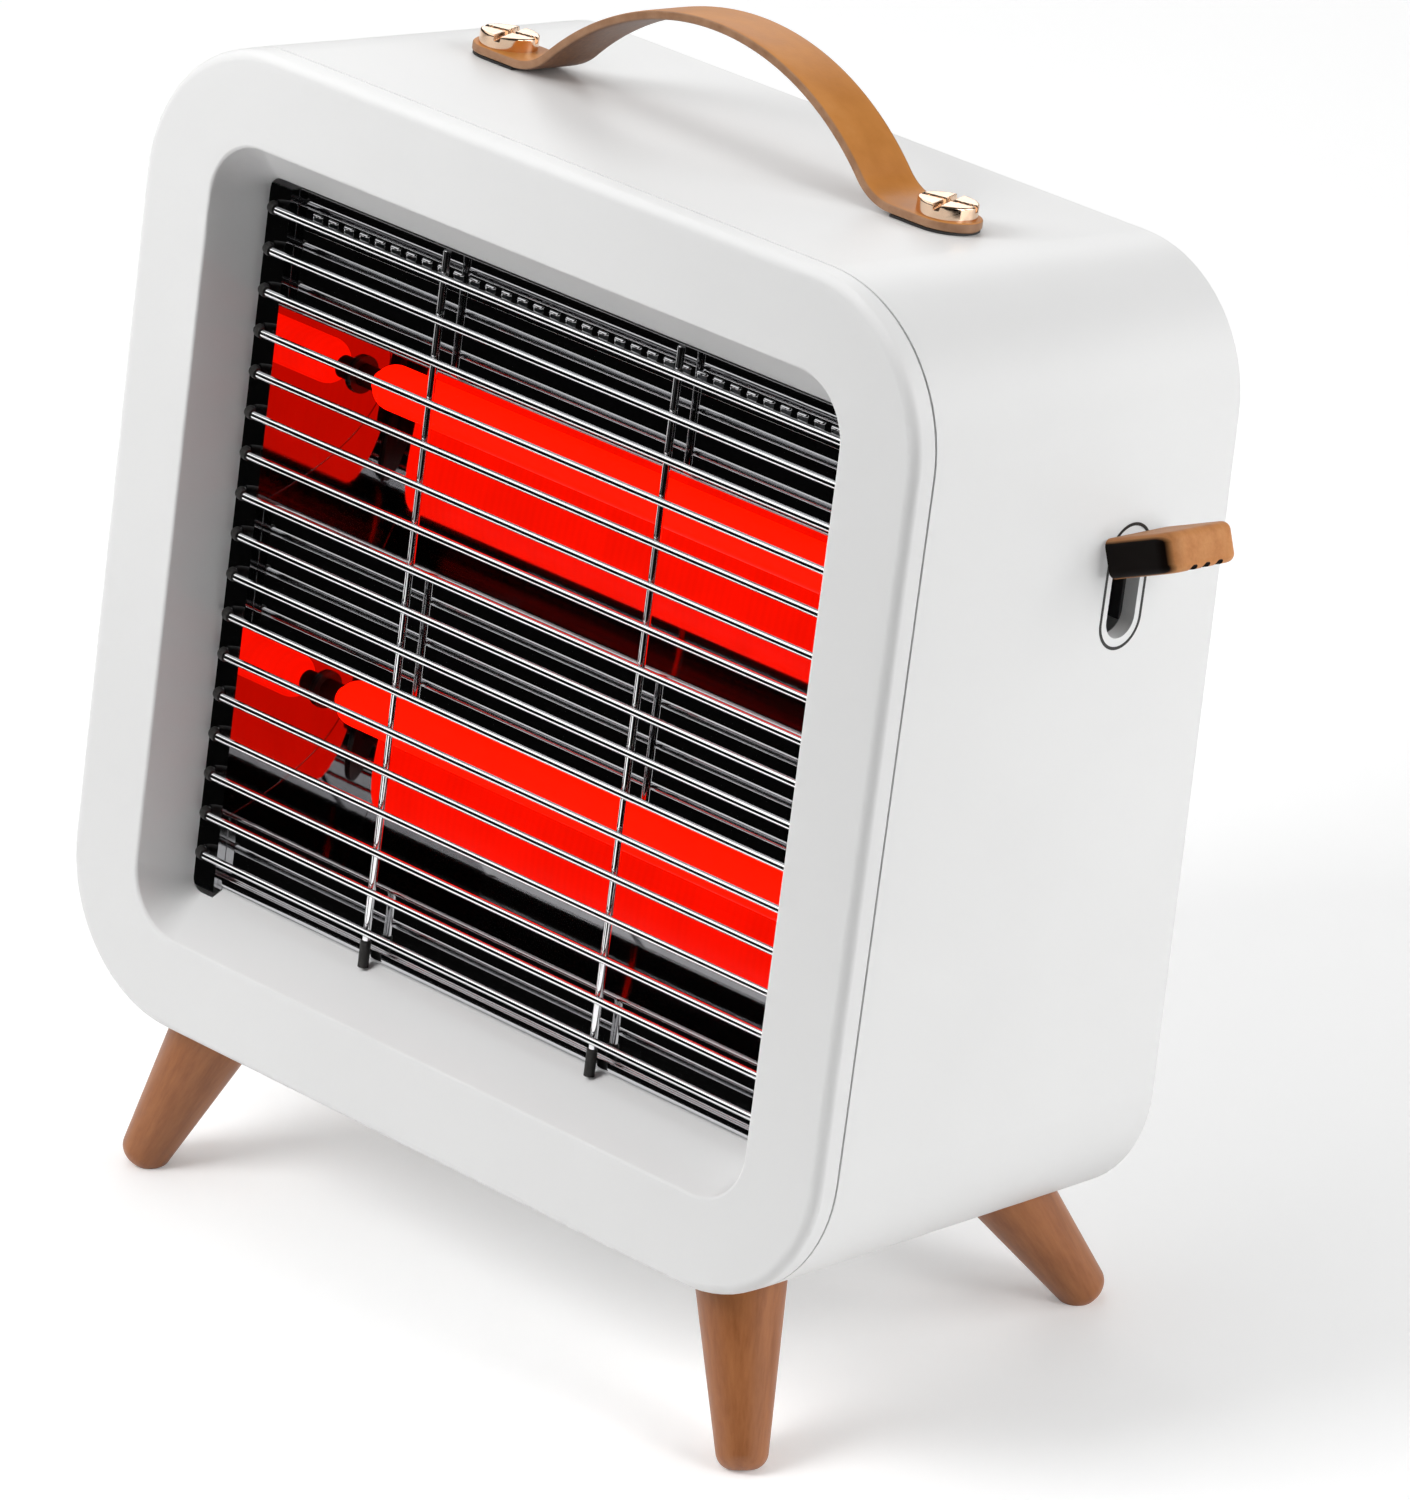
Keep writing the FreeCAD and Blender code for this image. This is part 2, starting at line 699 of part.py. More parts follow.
def build_bezel():
    body = new_body("bezel")
    outline = rounded_sketch(body, ZERO, d.body_width, d.body_height, d.corner_radius)
    plate = pad_back(body, outline, d.bezel_rim)
    fillet(body, plate, d.edge_round, lambda edge: edge.BoundBox.YMax < d.bezel_rim.value / 2)
    inset = 2 * (d.wall + d.tongue_gap)
    tongue_end = seat + d.tongue_depth
    tongue_corner = d.corner_radius - d.wall - d.tongue_gap
    tongue = rounded_sketch(body, d.bezel_face, d.body_width - inset, d.body_height - inset, tongue_corner)
    pad_back(body, tongue, tongue_end - d.bezel_face)
    hollow_inset = inset + 2 * d.tongue_wall
    hollow = rounded_sketch(body, d.bezel_face, d.body_width - hollow_inset, d.body_height - hollow_inset,
                            tongue_corner - d.tongue_wall)
    pocket = body.newObject("PartDesign::Pocket", "bezel_hollow")
    pocket.Profile = hollow
    bind(pocket, "Length", tongue_end)
    funnel_sections = []
    for grow in (d.funnel_wall, ZERO):
        mouth = rounded_sketch(body, ZERO, mouth_width + 2 * grow, mouth_height + 2 * grow,
                               d.mouth_radius + grow)
        throat = rounded_sketch(body, d.funnel_depth, (throat_side + grow) * 2, (throat_foot + grow) * 2,
                                d.throat_radius + grow, throat_foot - throat_top)
        funnel_sections.append((mouth, throat))
    loft(body, "AdditiveLoft", *funnel_sections[0])
    opened = loft(body, "SubtractiveLoft", *funnel_sections[1])
    lip_side = mouth_width.value / 2 + d.funnel_wall.value
    lip_level = mouth_height.value / 2 + d.funnel_wall.value
    fillet(body, opened, d.mouth_round,
           lambda edge: edge.BoundBox.YMax < d.mouth_round.value / 2
           and max(abs(vertex.X) for vertex in edge.Vertexes) < lip_side
           and max(abs(vertex.Z) for vertex in edge.Vertexes) < lip_level)
    apron = new_sketch(body, "YZ_Plane")
    climb = d.funnel_floor / d.funnel_depth
    ends = [(depth, depth * climb - mouth_height / 2)
            for depth in (d.funnel_depth - d.overrun, d.trough_front - d.apron_gap)]
    polygon(apron, ends + [(depth, level - d.funnel_wall) for depth, level in reversed(ends)])
    apron_pad = body.newObject("PartDesign::Pad", "bezel_apron")
    apron_pad.Profile = apron
    apron_pad.Midplane = True
    bind(apron_pad, "Length", (plate_place - d.overrun) * 2)
    posts = []
    holes = []
    start = d.bezel_face / 2
    for name, (x, z) in four_places(post_place, post_level).items():
        posts.append(rod(f"plate_post_{name}", "y", d.post_radius, (x, start, z), d.plate_front - start))
        holes.append(tapping_bore(f"plate_post_hole_{name}", x, d.plate_front + d.plate_thick, z))
    for name, (x, turn) in four_places(d.lug_place, as_size(1)).items():
        z = bezel_screw_level(turn)
        posts.append(rod(f"bezel_post_{name}", "y", d.post_radius, (x, start, z), d.lug_front - start))
        holes.append(tapping_bore(f"bezel_post_hole_{name}", x, d.lug_front + d.lug_depth, z))
    node(minus("bezel_holed", union("bezel_posts", [body] + posts), holes), "front_bezel", CASE)
    screws = [tapping_screw(f"bezel_screw_{name}", x, d.lug_front + d.lug_depth, bezel_screw_level(turn))
              for name, (x, turn) in four_places(d.lug_place, as_size(1)).items()]
    node(group("bezel_screw_set", screws), "bezel_screws", CASE)


def build_guard():
    """Cross wires, sleeved where they bend back through the end plates, welded to two uprights."""
    radius = d.guard_wire.value / 2
    tail_x = guard_reach.value - radius
    bend = d.guard_bend.value
    plane = d.guard_plane.value
    slant = bend * math.sqrt(0.5)
    straight = tail_x - bend

    def at(x, y):
        return Vector(x, y, 0)

    def corner(hand):
        middle = at(hand * (straight + slant), plane + bend - slant)
        return Part.Arc(at(hand * straight, plane), middle, at(hand * tail_x, plane + bend)).toShape()

    def tail(hand):
        end = at(hand * tail_x, d.guard_tail.value)
        return Part.LineSegment(at(hand * tail_x, plane + bend), end).toShape()

    span = Part.LineSegment(at(-straight, plane), at(straight, plane)).toShape()
    path = Part.Wire(Part.__sortEdges__([tail(-1), corner(-1), span, corner(1), tail(1)]))
    ring = Part.Wire([Part.Circle(at(-tail_x, d.guard_tail.value), PLUS_Y, radius).toShape()])
    wire = path.makePipeShell([ring], True, False)
    cross = doc.addObject("Part::Feature", "cross_wires")
    cross.Shape = Part.makeCompound([wire.translated(Vector(0, 0, level)) for level in guard_levels()])
    node(cross, "guard_cross_wires", CASE)
    depth = d.guard_plane + d.guard_wire + d.weld_gap
    uprights = []
    ferrules = []
    for side, hand in SIDES.items():
        x = d.upright_place * hand
        uprights.append(rod(f"upright_{side}", "z", d.guard_wire / 2, (x, depth, -upright_foot),
                            upright_top + upright_foot))
        foot = rod(f"ferrule_{side}", "z", d.ferrule_radius, (x, depth, -upright_foot), d.ferrule_length)
        bore = rod(f"ferrule_bore_{side}", "z", d.guard_wire / 2 + d.ferrule_gap,
                   (x, depth, -upright_foot - d.overrun), d.ferrule_length + d.overrun * 2)
        ferrules.append(minus(f"ferrule_ring_{side}", foot, [bore]))
        for number, level in enumerate(guard_levels(), start=1):
            hub = at(straight * hand, plane + bend) + PLUS_Z * level
            ferrules.append(bend_sleeve(f"sleeve_{side}_{number}", hand, hub))
    node(group("upright_pair", uprights), "guard_upright_wires", CASE)
    node(group("ferrule_set", ferrules), "guard_ferrules", CASE)


def bend_sleeve(name, hand, hub):
    """A black sleeve on the bend at one end of a cross wire, about the middle of that bend."""
    start = -90 if hand > 0 else 270 - d.sleeve_turn.value
    rings = []
    for role, radius in (("skin", d.ferrule_radius), ("bore", d.guard_wire / 2 + d.ferrule_gap)):
        ring = doc.addObject("Part::Torus", f"{name}_{role}")
        bind(ring, "Radius1", d.guard_bend)
        bind(ring, "Radius2", radius)
        bind(ring, "Angle3", d.sleeve_turn)
        ring.Placement = Placement(hub, Rotation(PLUS_Z, start))
        rings.append(ring)
    return minus(name, rings[0], rings[1:])


def guard_levels():
    """Heights of the cross wires, from the top down."""
    count = int(d.guard_count.value)
    return [guard_top.value - guard_pitch.value * step for step in range(count)]


def trough_curve(level):
    """One trough from the top down: a flat upper side, then a parabola about its tube, aimed upwards.

    Along the aim the parabola stands at across * across / (4 * focus) - focus from the tube, and the
    focus is such that the curve ends at the trough's lower edge.
    """
    sine_aim, cosine_aim = sine(d.trough_aim), cosine(d.trough_aim)
    ahead = d.tube_depth - d.trough_front
    edge_along = ahead * cosine_aim - d.trough_below * sine_aim
    edge_across = ahead * sine_aim + d.trough_below * cosine_aim
    focus = (root(edge_along * edge_along + edge_across * edge_across) - edge_along) / 2
    corners = [(d.trough_front, level + d.trough_above)]
    steps = int(d.trough_steps.value)
    for step in range(steps + 1):
        across = (edge_across + d.trough_back) * step / steps - d.trough_back
        along = across * across / (focus * 4) - focus
        corners.append((d.tube_depth - along * cosine_aim - across * sine_aim,
                        level + along * sine_aim - across * cosine_aim))
    return corners


def build_reflector():
    """The bent sheet with its two troughs, a folded hem at its foot, and the two end plates."""
    body = new_body("trough")
    hem_front = d.trough_front - d.hem_depth
    hem_low = d.hem_lift - plate_bottom
    hem_high = hem_low + d.hem_height
    bends = [(d.trough_front, plate_top)] + trough_curve(tube_high) + trough_curve(tube_low)
    hem = [(d.trough_front, hem_high), (hem_front, hem_high), (hem_front, hem_low),
           (d.trough_front, hem_low)]
    foot = [(d.trough_front, -plate_bottom)]
    back = [(depth + d.sheet_shift, level) for depth, level in reversed(bends + foot)]
    sketch = new_sketch(body, "YZ_Plane")
    polygon(sketch, bends + hem + foot + back)
    pad = body.newObject("PartDesign::Pad", "trough_sheet")
    pad.Profile = sketch
    pad.Midplane = True
    bind(pad, "Length", (plate_place - d.seat_gap) * 2)
    half_length = d.air_slot_length / 2
    first = -air_slot_pitch * (d.air_slot_count - 1) / 2
    slot = new_sketch(body, "XZ_Plane", -d.trough_front)
    low, high = air_slot_level - d.air_slot_height / 2, air_slot_level + d.air_slot_height / 2
    polygon(slot, [(first - half_length, low), (first + half_length, low), (first + half_length, high),
                   (first - half_length, high)])
    doc.recompute()
    pocket = body.newObject("PartDesign::Pocket", "air_slot")
    pocket.Profile = slot
    bind(pocket, "Length", d.sheet_shift)
    row = body.newObject("PartDesign::LinearPattern", "air_slot_row")
    row.Originals = [pocket]
    row.Direction = (slot, ["H_Axis"])
    bind(row, "Length", air_slot_pitch * (d.air_slot_count - 1))
    bind(row, "Occurrences", d.air_slot_count)
    body.Tip = row
    node(body, "reflector", CASE)
    for side, hand in SIDES.items():
        build_end_plate(side, hand)
    screws = [tapping_screw(f"plate_screw_{name}", x, d.plate_front + d.plate_thick, z)
              for name, (x, z) in four_places(post_place, post_level).items()]
    node(group("plate_screw_set", screws), "reflector_screws", CASE)
    shield = block("shield_sheet", (-shield_reach, shield_reach),
                   (d.plate_rear, d.plate_rear + d.shield_thick), (-shield_bottom, shield_top))
    node(group("shield", [shield]), "rear_heat_shield", CASE)


def ordered(first, second):
    """Two coordinates with the lower one first."""
    return (first, second) if first.value < second.value else (second, first)


def build_end_plate(side, hand):
    """A polished cheek at the end of the troughs, with a flange that turns outwards behind the bezel."""
    inner, outer = plate_place * hand, (plate_place + d.plate_thick) * hand
    levels = (-plate_bottom, plate_top)
    cheek = block(f"cheek_{side}", ordered(inner, outer), (d.plate_front, d.plate_rear), levels)
    flange = block(f"flange_{side}", ordered(inner, flange_reach * hand),
                   (d.plate_front, d.plate_front + d.plate_thick), levels)
    holes = []
    start = d.plate_front - d.overrun
    for name, turn in (("low", -1), ("high", 1)):
        holes.append(rod(f"plate_hole_{side}_{name}", "y", d.tapping_radius + d.seat_gap,
                         (post_place * hand, start, post_level * turn), d.overrun * 3))
    for tube, level in (("high", tube_high), ("low", tube_low)):
        holes.append(rod(f"holder_hole_{side}_{tube}", "x", d.holder_radius + d.seat_gap,
                         (outer - d.overrun * 2, d.tube_depth, level), d.overrun * 4))
    tail_x = (guard_reach - d.guard_wire / 2) * hand
    for step in range(int(d.guard_count.value)):
        level = guard_top - guard_pitch * step
        holes.append(rod(f"tail_hole_{side}_{step}", "y", d.guard_wire / 2 + d.seat_gap,
                         (tail_x, start, level), d.overrun * 3))
    node(minus(f"end_plate_{side}", union(f"end_sheet_{side}", [cheek, flange]), holes),
         f"reflector_end_plate_{side}", CASE)


def build_tubes():
    """Two sealed quartz tubes with domed ends, the core in each and the ceramic holders of their ends."""
    holders = {side: [] for side in SIDES}
    tabs = []
    for word, level in (("upper", tube_high), ("lower", tube_low)):
        frame = Placement(Vector(0, d.tube_depth.value, level.value), TURN_TO["x"])
        shoulder = tube_reach - d.tube_radius
        shaft = rod(f"{word}_glass", "z", d.tube_radius, (ZERO, ZERO, -shoulder), shoulder * 2)
        stub = rod(f"{word}_stub", "z", d.stub_radius, (ZERO, ZERO, -stub_reach), stub_reach * 2)
        cavity = rod(f"{word}_cavity", "z", d.tube_radius - d.tube_wall, (ZERO, ZERO, -shoulder),
                     shoulder * 2)
        domes = []
        for side, hand in SIDES.items():
            dome = doc.addObject("Part::Sphere", f"{word}_dome_{side}")
            bind(dome, "Radius", d.tube_radius)
            bind(dome, "Placement.Base.z", shoulder * hand)
            domes.append(dome)
        outside = union(f"{word}_outside", [shaft, stub] + domes)
        node(minus(f"{word}_tube", outside, [cavity]), f"{word}_quartz_tube", frame)
        core = rod(f"{word}_core", "z", d.filament_radius, (ZERO, ZERO, -shoulder), shoulder * 2)
        node(group(f"{word}_filament_core", [core]), f"{word}_heating_core", frame)
        for side, hand in SIDES.items():
            holders[side].append(tube_holder(word, side, hand, level))
            tabs.append(tube_tab(word, side, hand, level))
    for side, pieces in holders.items():
        node(group(f"holders_{side}", pieces), f"tube_holders_{side}", CASE)
    node(group("tab_set", tabs), "tube_terminals", CASE)


def tube_holder(word, side, hand, level):
    """A ceramic bush that carries one end of a tube, with a flange against the outside of the end plate."""
    name = f"{word}_holder_{side}"
    low, high = ordered(holder_inner * hand, holder_outer * hand)
    sleeve = rod(f"{name}_sleeve", "x", d.holder_radius, (low, d.tube_depth, level), high - low)
    face = plate_place + d.plate_thick
    low, high = ordered(face * hand, (face + d.holder_flange_thick) * hand)
    flange = rod(f"{name}_flange", "x", d.holder_flange_radius, (low, d.tube_depth, level), high - low)
    low, high = ordered((holder_inner - d.overrun) * hand, stub_reach * hand)
    bore = rod(f"{name}_bore", "x", d.stub_radius + d.seat_gap, (low, d.tube_depth, level), high - low)
    return minus(name, union(f"{name}_body", [sleeve, flange]), [bore])


def tube_tab(word, side, hand, level):
    """A blade terminal on the outer face of a holder."""
    half_tab, half_blade = d.tab_width / 2, d.tab_thick / 2
    across = ordered(holder_outer * hand, (holder_outer + d.tab_length) * hand)
    return block(f"{word}_tab_{side}", across, (d.tube_depth - half_tab, d.tube_depth + half_tab),
                 (level - half_blade, level + half_blade))


def build_leads():
    """Insulated leads that stand between the blades at each end of the tubes."""
    for side, hand in SIDES.items():
        x = (holder_outer + d.tab_length / 2) * hand
        low = tube_low + d.tab_thick / 2
        high = tube_high - d.tab_thick / 2
        lead = rod(f"lead_{side}", "z", d.lead_radius, (x, d.tube_depth, low), high - low)
        node(group(f"tube_lead_{side}", [lead]), f"tube_lead_{side}", CASE)


def build_lever():
    """The paddle outside, the stem through the slot and the hub on its pin, which is at the origin."""
    body = new_body("paddle")
    sketch = new_sketch(body, "XY_Plane")
    rounded_outline(sketch, d.paddle_length + d.paddle_corner, d.paddle_width, d.paddle_corner)
    pad = body.newObject("PartDesign::Pad", "paddle_pad")
    pad.Profile = sketch
    pad.Midplane = True
    bind(pad, "Length", d.paddle_thick)
    fillet(body, pad, d.paddle_round, lambda edge: edge.BoundBox.ZLength < d.paddle_round.value)
    paddle_middle = d.paddle_start + (d.paddle_length - d.paddle_corner) / 2
    body.Placement = Placement(Vector(paddle_middle.value, d.paddle_shift.value, 0), Rotation())
    grips = []
    tip = d.paddle_start + d.paddle_length
    for step in (-1, 0, 1):
        start = (tip - d.grip_length, d.paddle_shift + d.grip_pitch * step, -d.paddle_thick / 2)
        grips.append(rod(f"grip_{step + 1}", "x", d.grip_radius, start, d.grip_length + d.overrun))
    half_hub = d.hub_length / 2
    hub = rod("lever_hub", "y", d.hub_radius, (ZERO, -half_hub, ZERO), d.hub_length)
    stem = block("lever_stem", (ZERO, d.paddle_start + d.paddle_round * 2),
                 (-d.stem_width / 2, d.stem_width / 2), (-d.stem_thick / 2, d.stem_thick / 2))
    bore = rod("lever_bore", "y", d.pin_radius + d.pin_fit, (ZERO, -d.hub_length, ZERO), d.hub_length * 2)
    inner = block("paddle_inner_end", (d.paddle_start - d.paddle_corner * 2, d.paddle_start),
                  (-d.paddle_width, d.paddle_width), (-d.paddle_thick, d.paddle_thick))
    whole = union("lever_whole", [minus("paddle_squared", body, [inner]), hub, stem])
    node(minus("lever_cut", whole, [bore] + grips), "selector_lever", LEVER)


def build_switch():
    """The slot plate in the side wall and the switch behind it, with the lever's pin between two cheeks."""
    prism = lever_slot_prism("slot_plate_prism", ZERO, d.slot_plate_width, d.slot_plate_height,
                             slot_plate_back, half_width + d.overrun)
    face = overlap("slot_plate_face", prism, case_solid("slot_plate_envelope", ZERO))
    lip_size = 2 * d.slot_plate_lip
    lip = lever_slot_prism("slot_plate_rim", ZERO, d.slot_plate_width + lip_size,
                           d.slot_plate_height + lip_size, slot_plate_back,
                           slot_plate_back + d.slot_plate_lip_thick)
    slot = lever_slot_prism("slot_plate_slot", ZERO, d.slot_width, d.slot_height,
                            slot_plate_back - d.overrun, half_width + d.overrun)
    node(minus("slot_plate", union("slot_plate_blank", [face, lip]), [slot]), "lever_slot_plate", CASE)
    inside = d.hub_length / 2 + d.cheek_gap
    outside = inside + d.cheek_thick
    half_cheek = d.cheek_height / 2
    block_end = switch_back + d.switch_block
    cheeks = []
    for side, hand in SIDES.items():
        across = ordered(d.lever_depth + inside * hand, d.lever_depth + outside * hand)
        cheeks.append(block(f"switch_cheek_{side}", (block_end, slot_plate_back), across,
                            (d.lever_level - half_cheek, d.lever_level + half_cheek)))
    half_switch = d.switch_height / 2
    base = block("switch_base", (switch_back, block_end),
                 (d.lever_depth - outside, d.lever_depth + outside),
                 (d.lever_level - half_switch, d.lever_level + half_switch))
    pin_start = d.lever_depth - outside
    bore = rod("switch_pin_bore", "y", d.pin_radius + d.pin_fit,
               (lever_pivot, pin_start - d.overrun, d.lever_level), (outside + d.overrun) * 2)
    node(minus("switch", union("switch_blank", [base] + cheeks), [bore]), "selector_switch", CASE)
    pin = rod("lever_pin_rod", "y", d.pin_radius, (lever_pivot, pin_start, d.lever_level), outside * 2)
    node(group("lever_pin", [pin]), "lever_pivot_pin", CASE)
    half_tab, half_blade = d.tab_width / 2, d.tab_thick / 2
    contacts = []
    for step in (-1, 0, 1):
        level = d.lever_level + d.tab_width * step
        contacts.append(block(f"switch_blade_{step + 1}", (switch_back - d.tab_length, switch_back),
                              (d.lever_depth - half_tab, d.lever_depth + half_tab),
                              (level - half_blade, level + half_blade)))
    node(group("switch_blades", contacts), "switch_terminals", CASE)


def strap_face():
    """Side outline of the strap: flat feet, a soft bend up and one wide arch, all of one thickness."""
    half = d.strap_thick.value / 2
    foot = strap_foot.value
    turn = 2 * math.atan2(d.strap_rise.value, foot)
    both = foot / math.sin(turn)
    small = d.strap_bend.value
    base = d.strap_pad.value + half
    end = strap_hole_place.value + d.strap_width.value / 2
    crown = base + d.strap_rise.value - (both - small)

    def bend(hand, radius, angle):
        return Vector(hand * (foot - radius * math.sin(angle)), 0, base + small - radius * math.cos(angle))

    def arch(radius, angle):
        return Vector(radius * math.sin(angle), 0, crown + radius * math.cos(angle))

    def side(offset):
        """One long edge of the strap, from its left end to its right end."""
        flat = base + offset
        inner, outer = small - offset, both - small + offset
        return [
            Part.LineSegment(Vector(-end, 0, flat), Vector(-foot, 0, flat)),
            Part.Arc(bend(-1, inner, 0), bend(-1, inner, turn / 2), bend(-1, inner, turn)),
            Part.Arc(arch(outer, -turn), arch(outer, 0), arch(outer, turn)),
            Part.Arc(bend(1, inner, turn), bend(1, inner, turn / 2), bend(1, inner, 0)),
            Part.LineSegment(Vector(foot, 0, flat), Vector(end, 0, flat)),
        ]

    caps = [Part.LineSegment(Vector(hand * end, 0, base - half), Vector(hand * end, 0, base + half))
            for hand in SIDES.values()]
    edges = [curve.toShape() for curve in side(half) + side(-half) + caps]
    return Part.Face(Part.Wire(Part.__sortEdges__(edges)))


def strap_bore(name, x):
    """The hole for a strap screw, through all that it holds together."""
    return rod(name, "z", d.strap_screw_radius + d.seat_gap, (x, ZERO, -d.strap_rise), d.strap_rise * 2)


def build_strap():
    """The leather strap, set on the top of the case, with its pads, screws and nuts."""
    half_strap = d.strap_width / 2
    band = doc.addObject("Part::Feature", "strap_band")
    half = half_strap.value
    band.Shape = strap_face().extrude(Vector(0, 2 * half, 0)).translated(Vector(0, -half, 0))
    tall = d.strap_rise * 2
    reach = [block("strap_plan", (-strap_hole_place, strap_hole_place), (-half_strap, half_strap),
                   (ZERO, tall))]
    holes = []
    pads = []
    screws = []
    nuts = []
    top = d.strap_pad + d.strap_thick
    for side, hand in SIDES.items():
        x = strap_hole_place * hand
        reach.append(rod(f"strap_plan_end_{side}", "z", half_strap, (x, ZERO, ZERO), tall))
        holes.append(strap_bore(f"strap_eye_{side}", x))
        pads.append(strap_pad(side, hand, x))
        screws.append(strap_screw(side, x, top))
        nut = rod(f"strap_nut_{side}", "z", d.strap_nut_radius,
                  (x, ZERO, -d.wall - d.strap_nut_height - d.seat_gap), d.strap_nut_height)
        nuts.append(minus(f"strap_nut_ring_{side}", nut, [strap_bore(f"strap_nut_bore_{side}", x)]))
    trimmed = overlap("strap_trimmed", band, union("strap_outline", reach))
    node(minus("strap", trimmed, holes), "carrying_strap", TOP)
    node(group("strap_pads", pads), "strap_pads", TOP)
    node(group("strap_screws", screws), "strap_screws", TOP)
    node(group("strap_nuts", nuts), "strap_nuts", TOP)


def strap_pad(side, hand, x):
    """A thin dark pad under one foot of the strap."""
    half = d.strap_width / 2 - d.strap_pad_inset
    disc = rod(f"pad_disc_{side}", "z", half, (x, ZERO, ZERO), d.strap_pad)
    strip = block(f"pad_strip_{side}", ordered(strap_foot * hand, x), (-half, half), (ZERO, d.strap_pad))
    bore = strap_bore(f"pad_bore_{side}", x)
    return minus(f"pad_{side}", union(f"pad_blank_{side}", [disc, strip]), [bore])


def strap_screw(side, x, top):
    """A brass screw with a broad head that is slotted both ways."""
    name = f"strap_screw_{side}"
    drop = d.wall + d.seat_gap + d.strap_nut_height
    shank = rod(f"{name}_shank", "z", d.strap_screw_radius, (x, ZERO, -drop), drop + top)
    edge = d.strap_head_height - d.strap_head_edge
    drum = rod(f"{name}_drum", "z", d.strap_head_radius, (x, ZERO, top), edge)
    crown = doc.addObject("Part::Cone", f"{name}_crown")
    bind(crown, "Radius1", d.strap_head_radius)
    bind(crown, "Radius2", d.strap_head_radius - d.strap_head_edge)
    bind(crown, "Height", d.strap_head_edge)
    bind(crown, "Placement.Base.x", x)
    bind(crown, "Placement.Base.z", top + edge)
    half, reach = d.strap_head_slot / 2, d.strap_head_radius + d.overrun
    floor = top + d.strap_head_height - d.strap_head_slot_depth
    levels = (floor, top + d.strap_head_height + d.overrun)
    slots = [block(f"{name}_slot_a", (x - half, x + half), (-reach, reach), levels),
             block(f"{name}_slot_b", (x - reach, x + reach), (-half, half), levels)]
    return minus(name, union(f"{name}_blank", [shank, drum, crown]), slots)


def build_legs():
    """Turned legs cut to the case and to the floor, with the studs, saddles and nuts that hold them."""
    outside = case_solid("leg_outside", d.seat_gap)
    inside = case_solid("leg_inside", -(d.wall + d.seat_gap))
    outside.Placement = LEAN
    inside.Placement = LEAN
    studs = []
    seats = []
    nuts = []
    below = d.leg_tip_radius * 2
    wide = half_width * 2
    ground = block("ground", (-wide, wide), (-wide, wide), (-below, ZERO))
    for place, frame in LEGS.items():
        sunk = frame.multiply(Placement(Vector(0, 0, -d.leg_foot_flat.value), Rotation()))
        body = new_body(f"leg_{place}_turning")
        climb = leg_climb(place)
        length = climb + d.leg_cap
        top_radius = d.leg_tip_radius + tangent(d.leg_taper) * length
        turned = revolve_about_z(body, [(ZERO, ZERO), (d.leg_tip_radius, ZERO), (top_radius, length),
                                        (ZERO, length)])
        fillet(body, turned, d.leg_tip_round, lambda edge: edge.BoundBox.ZMax < d.leg_foot_flat.value)
        body.Placement = sunk
        bore = stud_bore(f"leg_{place}_bore", place)
        node(minus(f"leg_{place}_cut", body, [outside, ground, bore]), f"leg_{place}")
        flat = climb + d.leg_seat_height
        studs.append(leg_rod(f"stud_{place}", place, d.stud_radius, d.stud_start,
                             flat + d.leg_nut_height - d.stud_start))
        saddle = leg_rod(f"saddle_{place}", place, d.leg_seat_radius, climb - d.leg_seat_height,
                         d.leg_seat_height * 2)
        hole = stud_bore(f"saddle_hole_{place}", place)
        seats.append(minus(f"saddle_{place}_cut", overlap(f"saddle_{place}_fit", saddle, inside), [hole]))
        nut = leg_rod(f"nut_{place}", place, d.leg_nut_radius, flat, d.leg_nut_height)
        nuts.append(minus(f"nut_{place}_cut", nut, [hole]))
    node(group("leg_studs", studs), "leg_studs")
    node(group("leg_saddles", seats), "leg_saddles")
    node(group("leg_nuts", nuts), "leg_nuts")


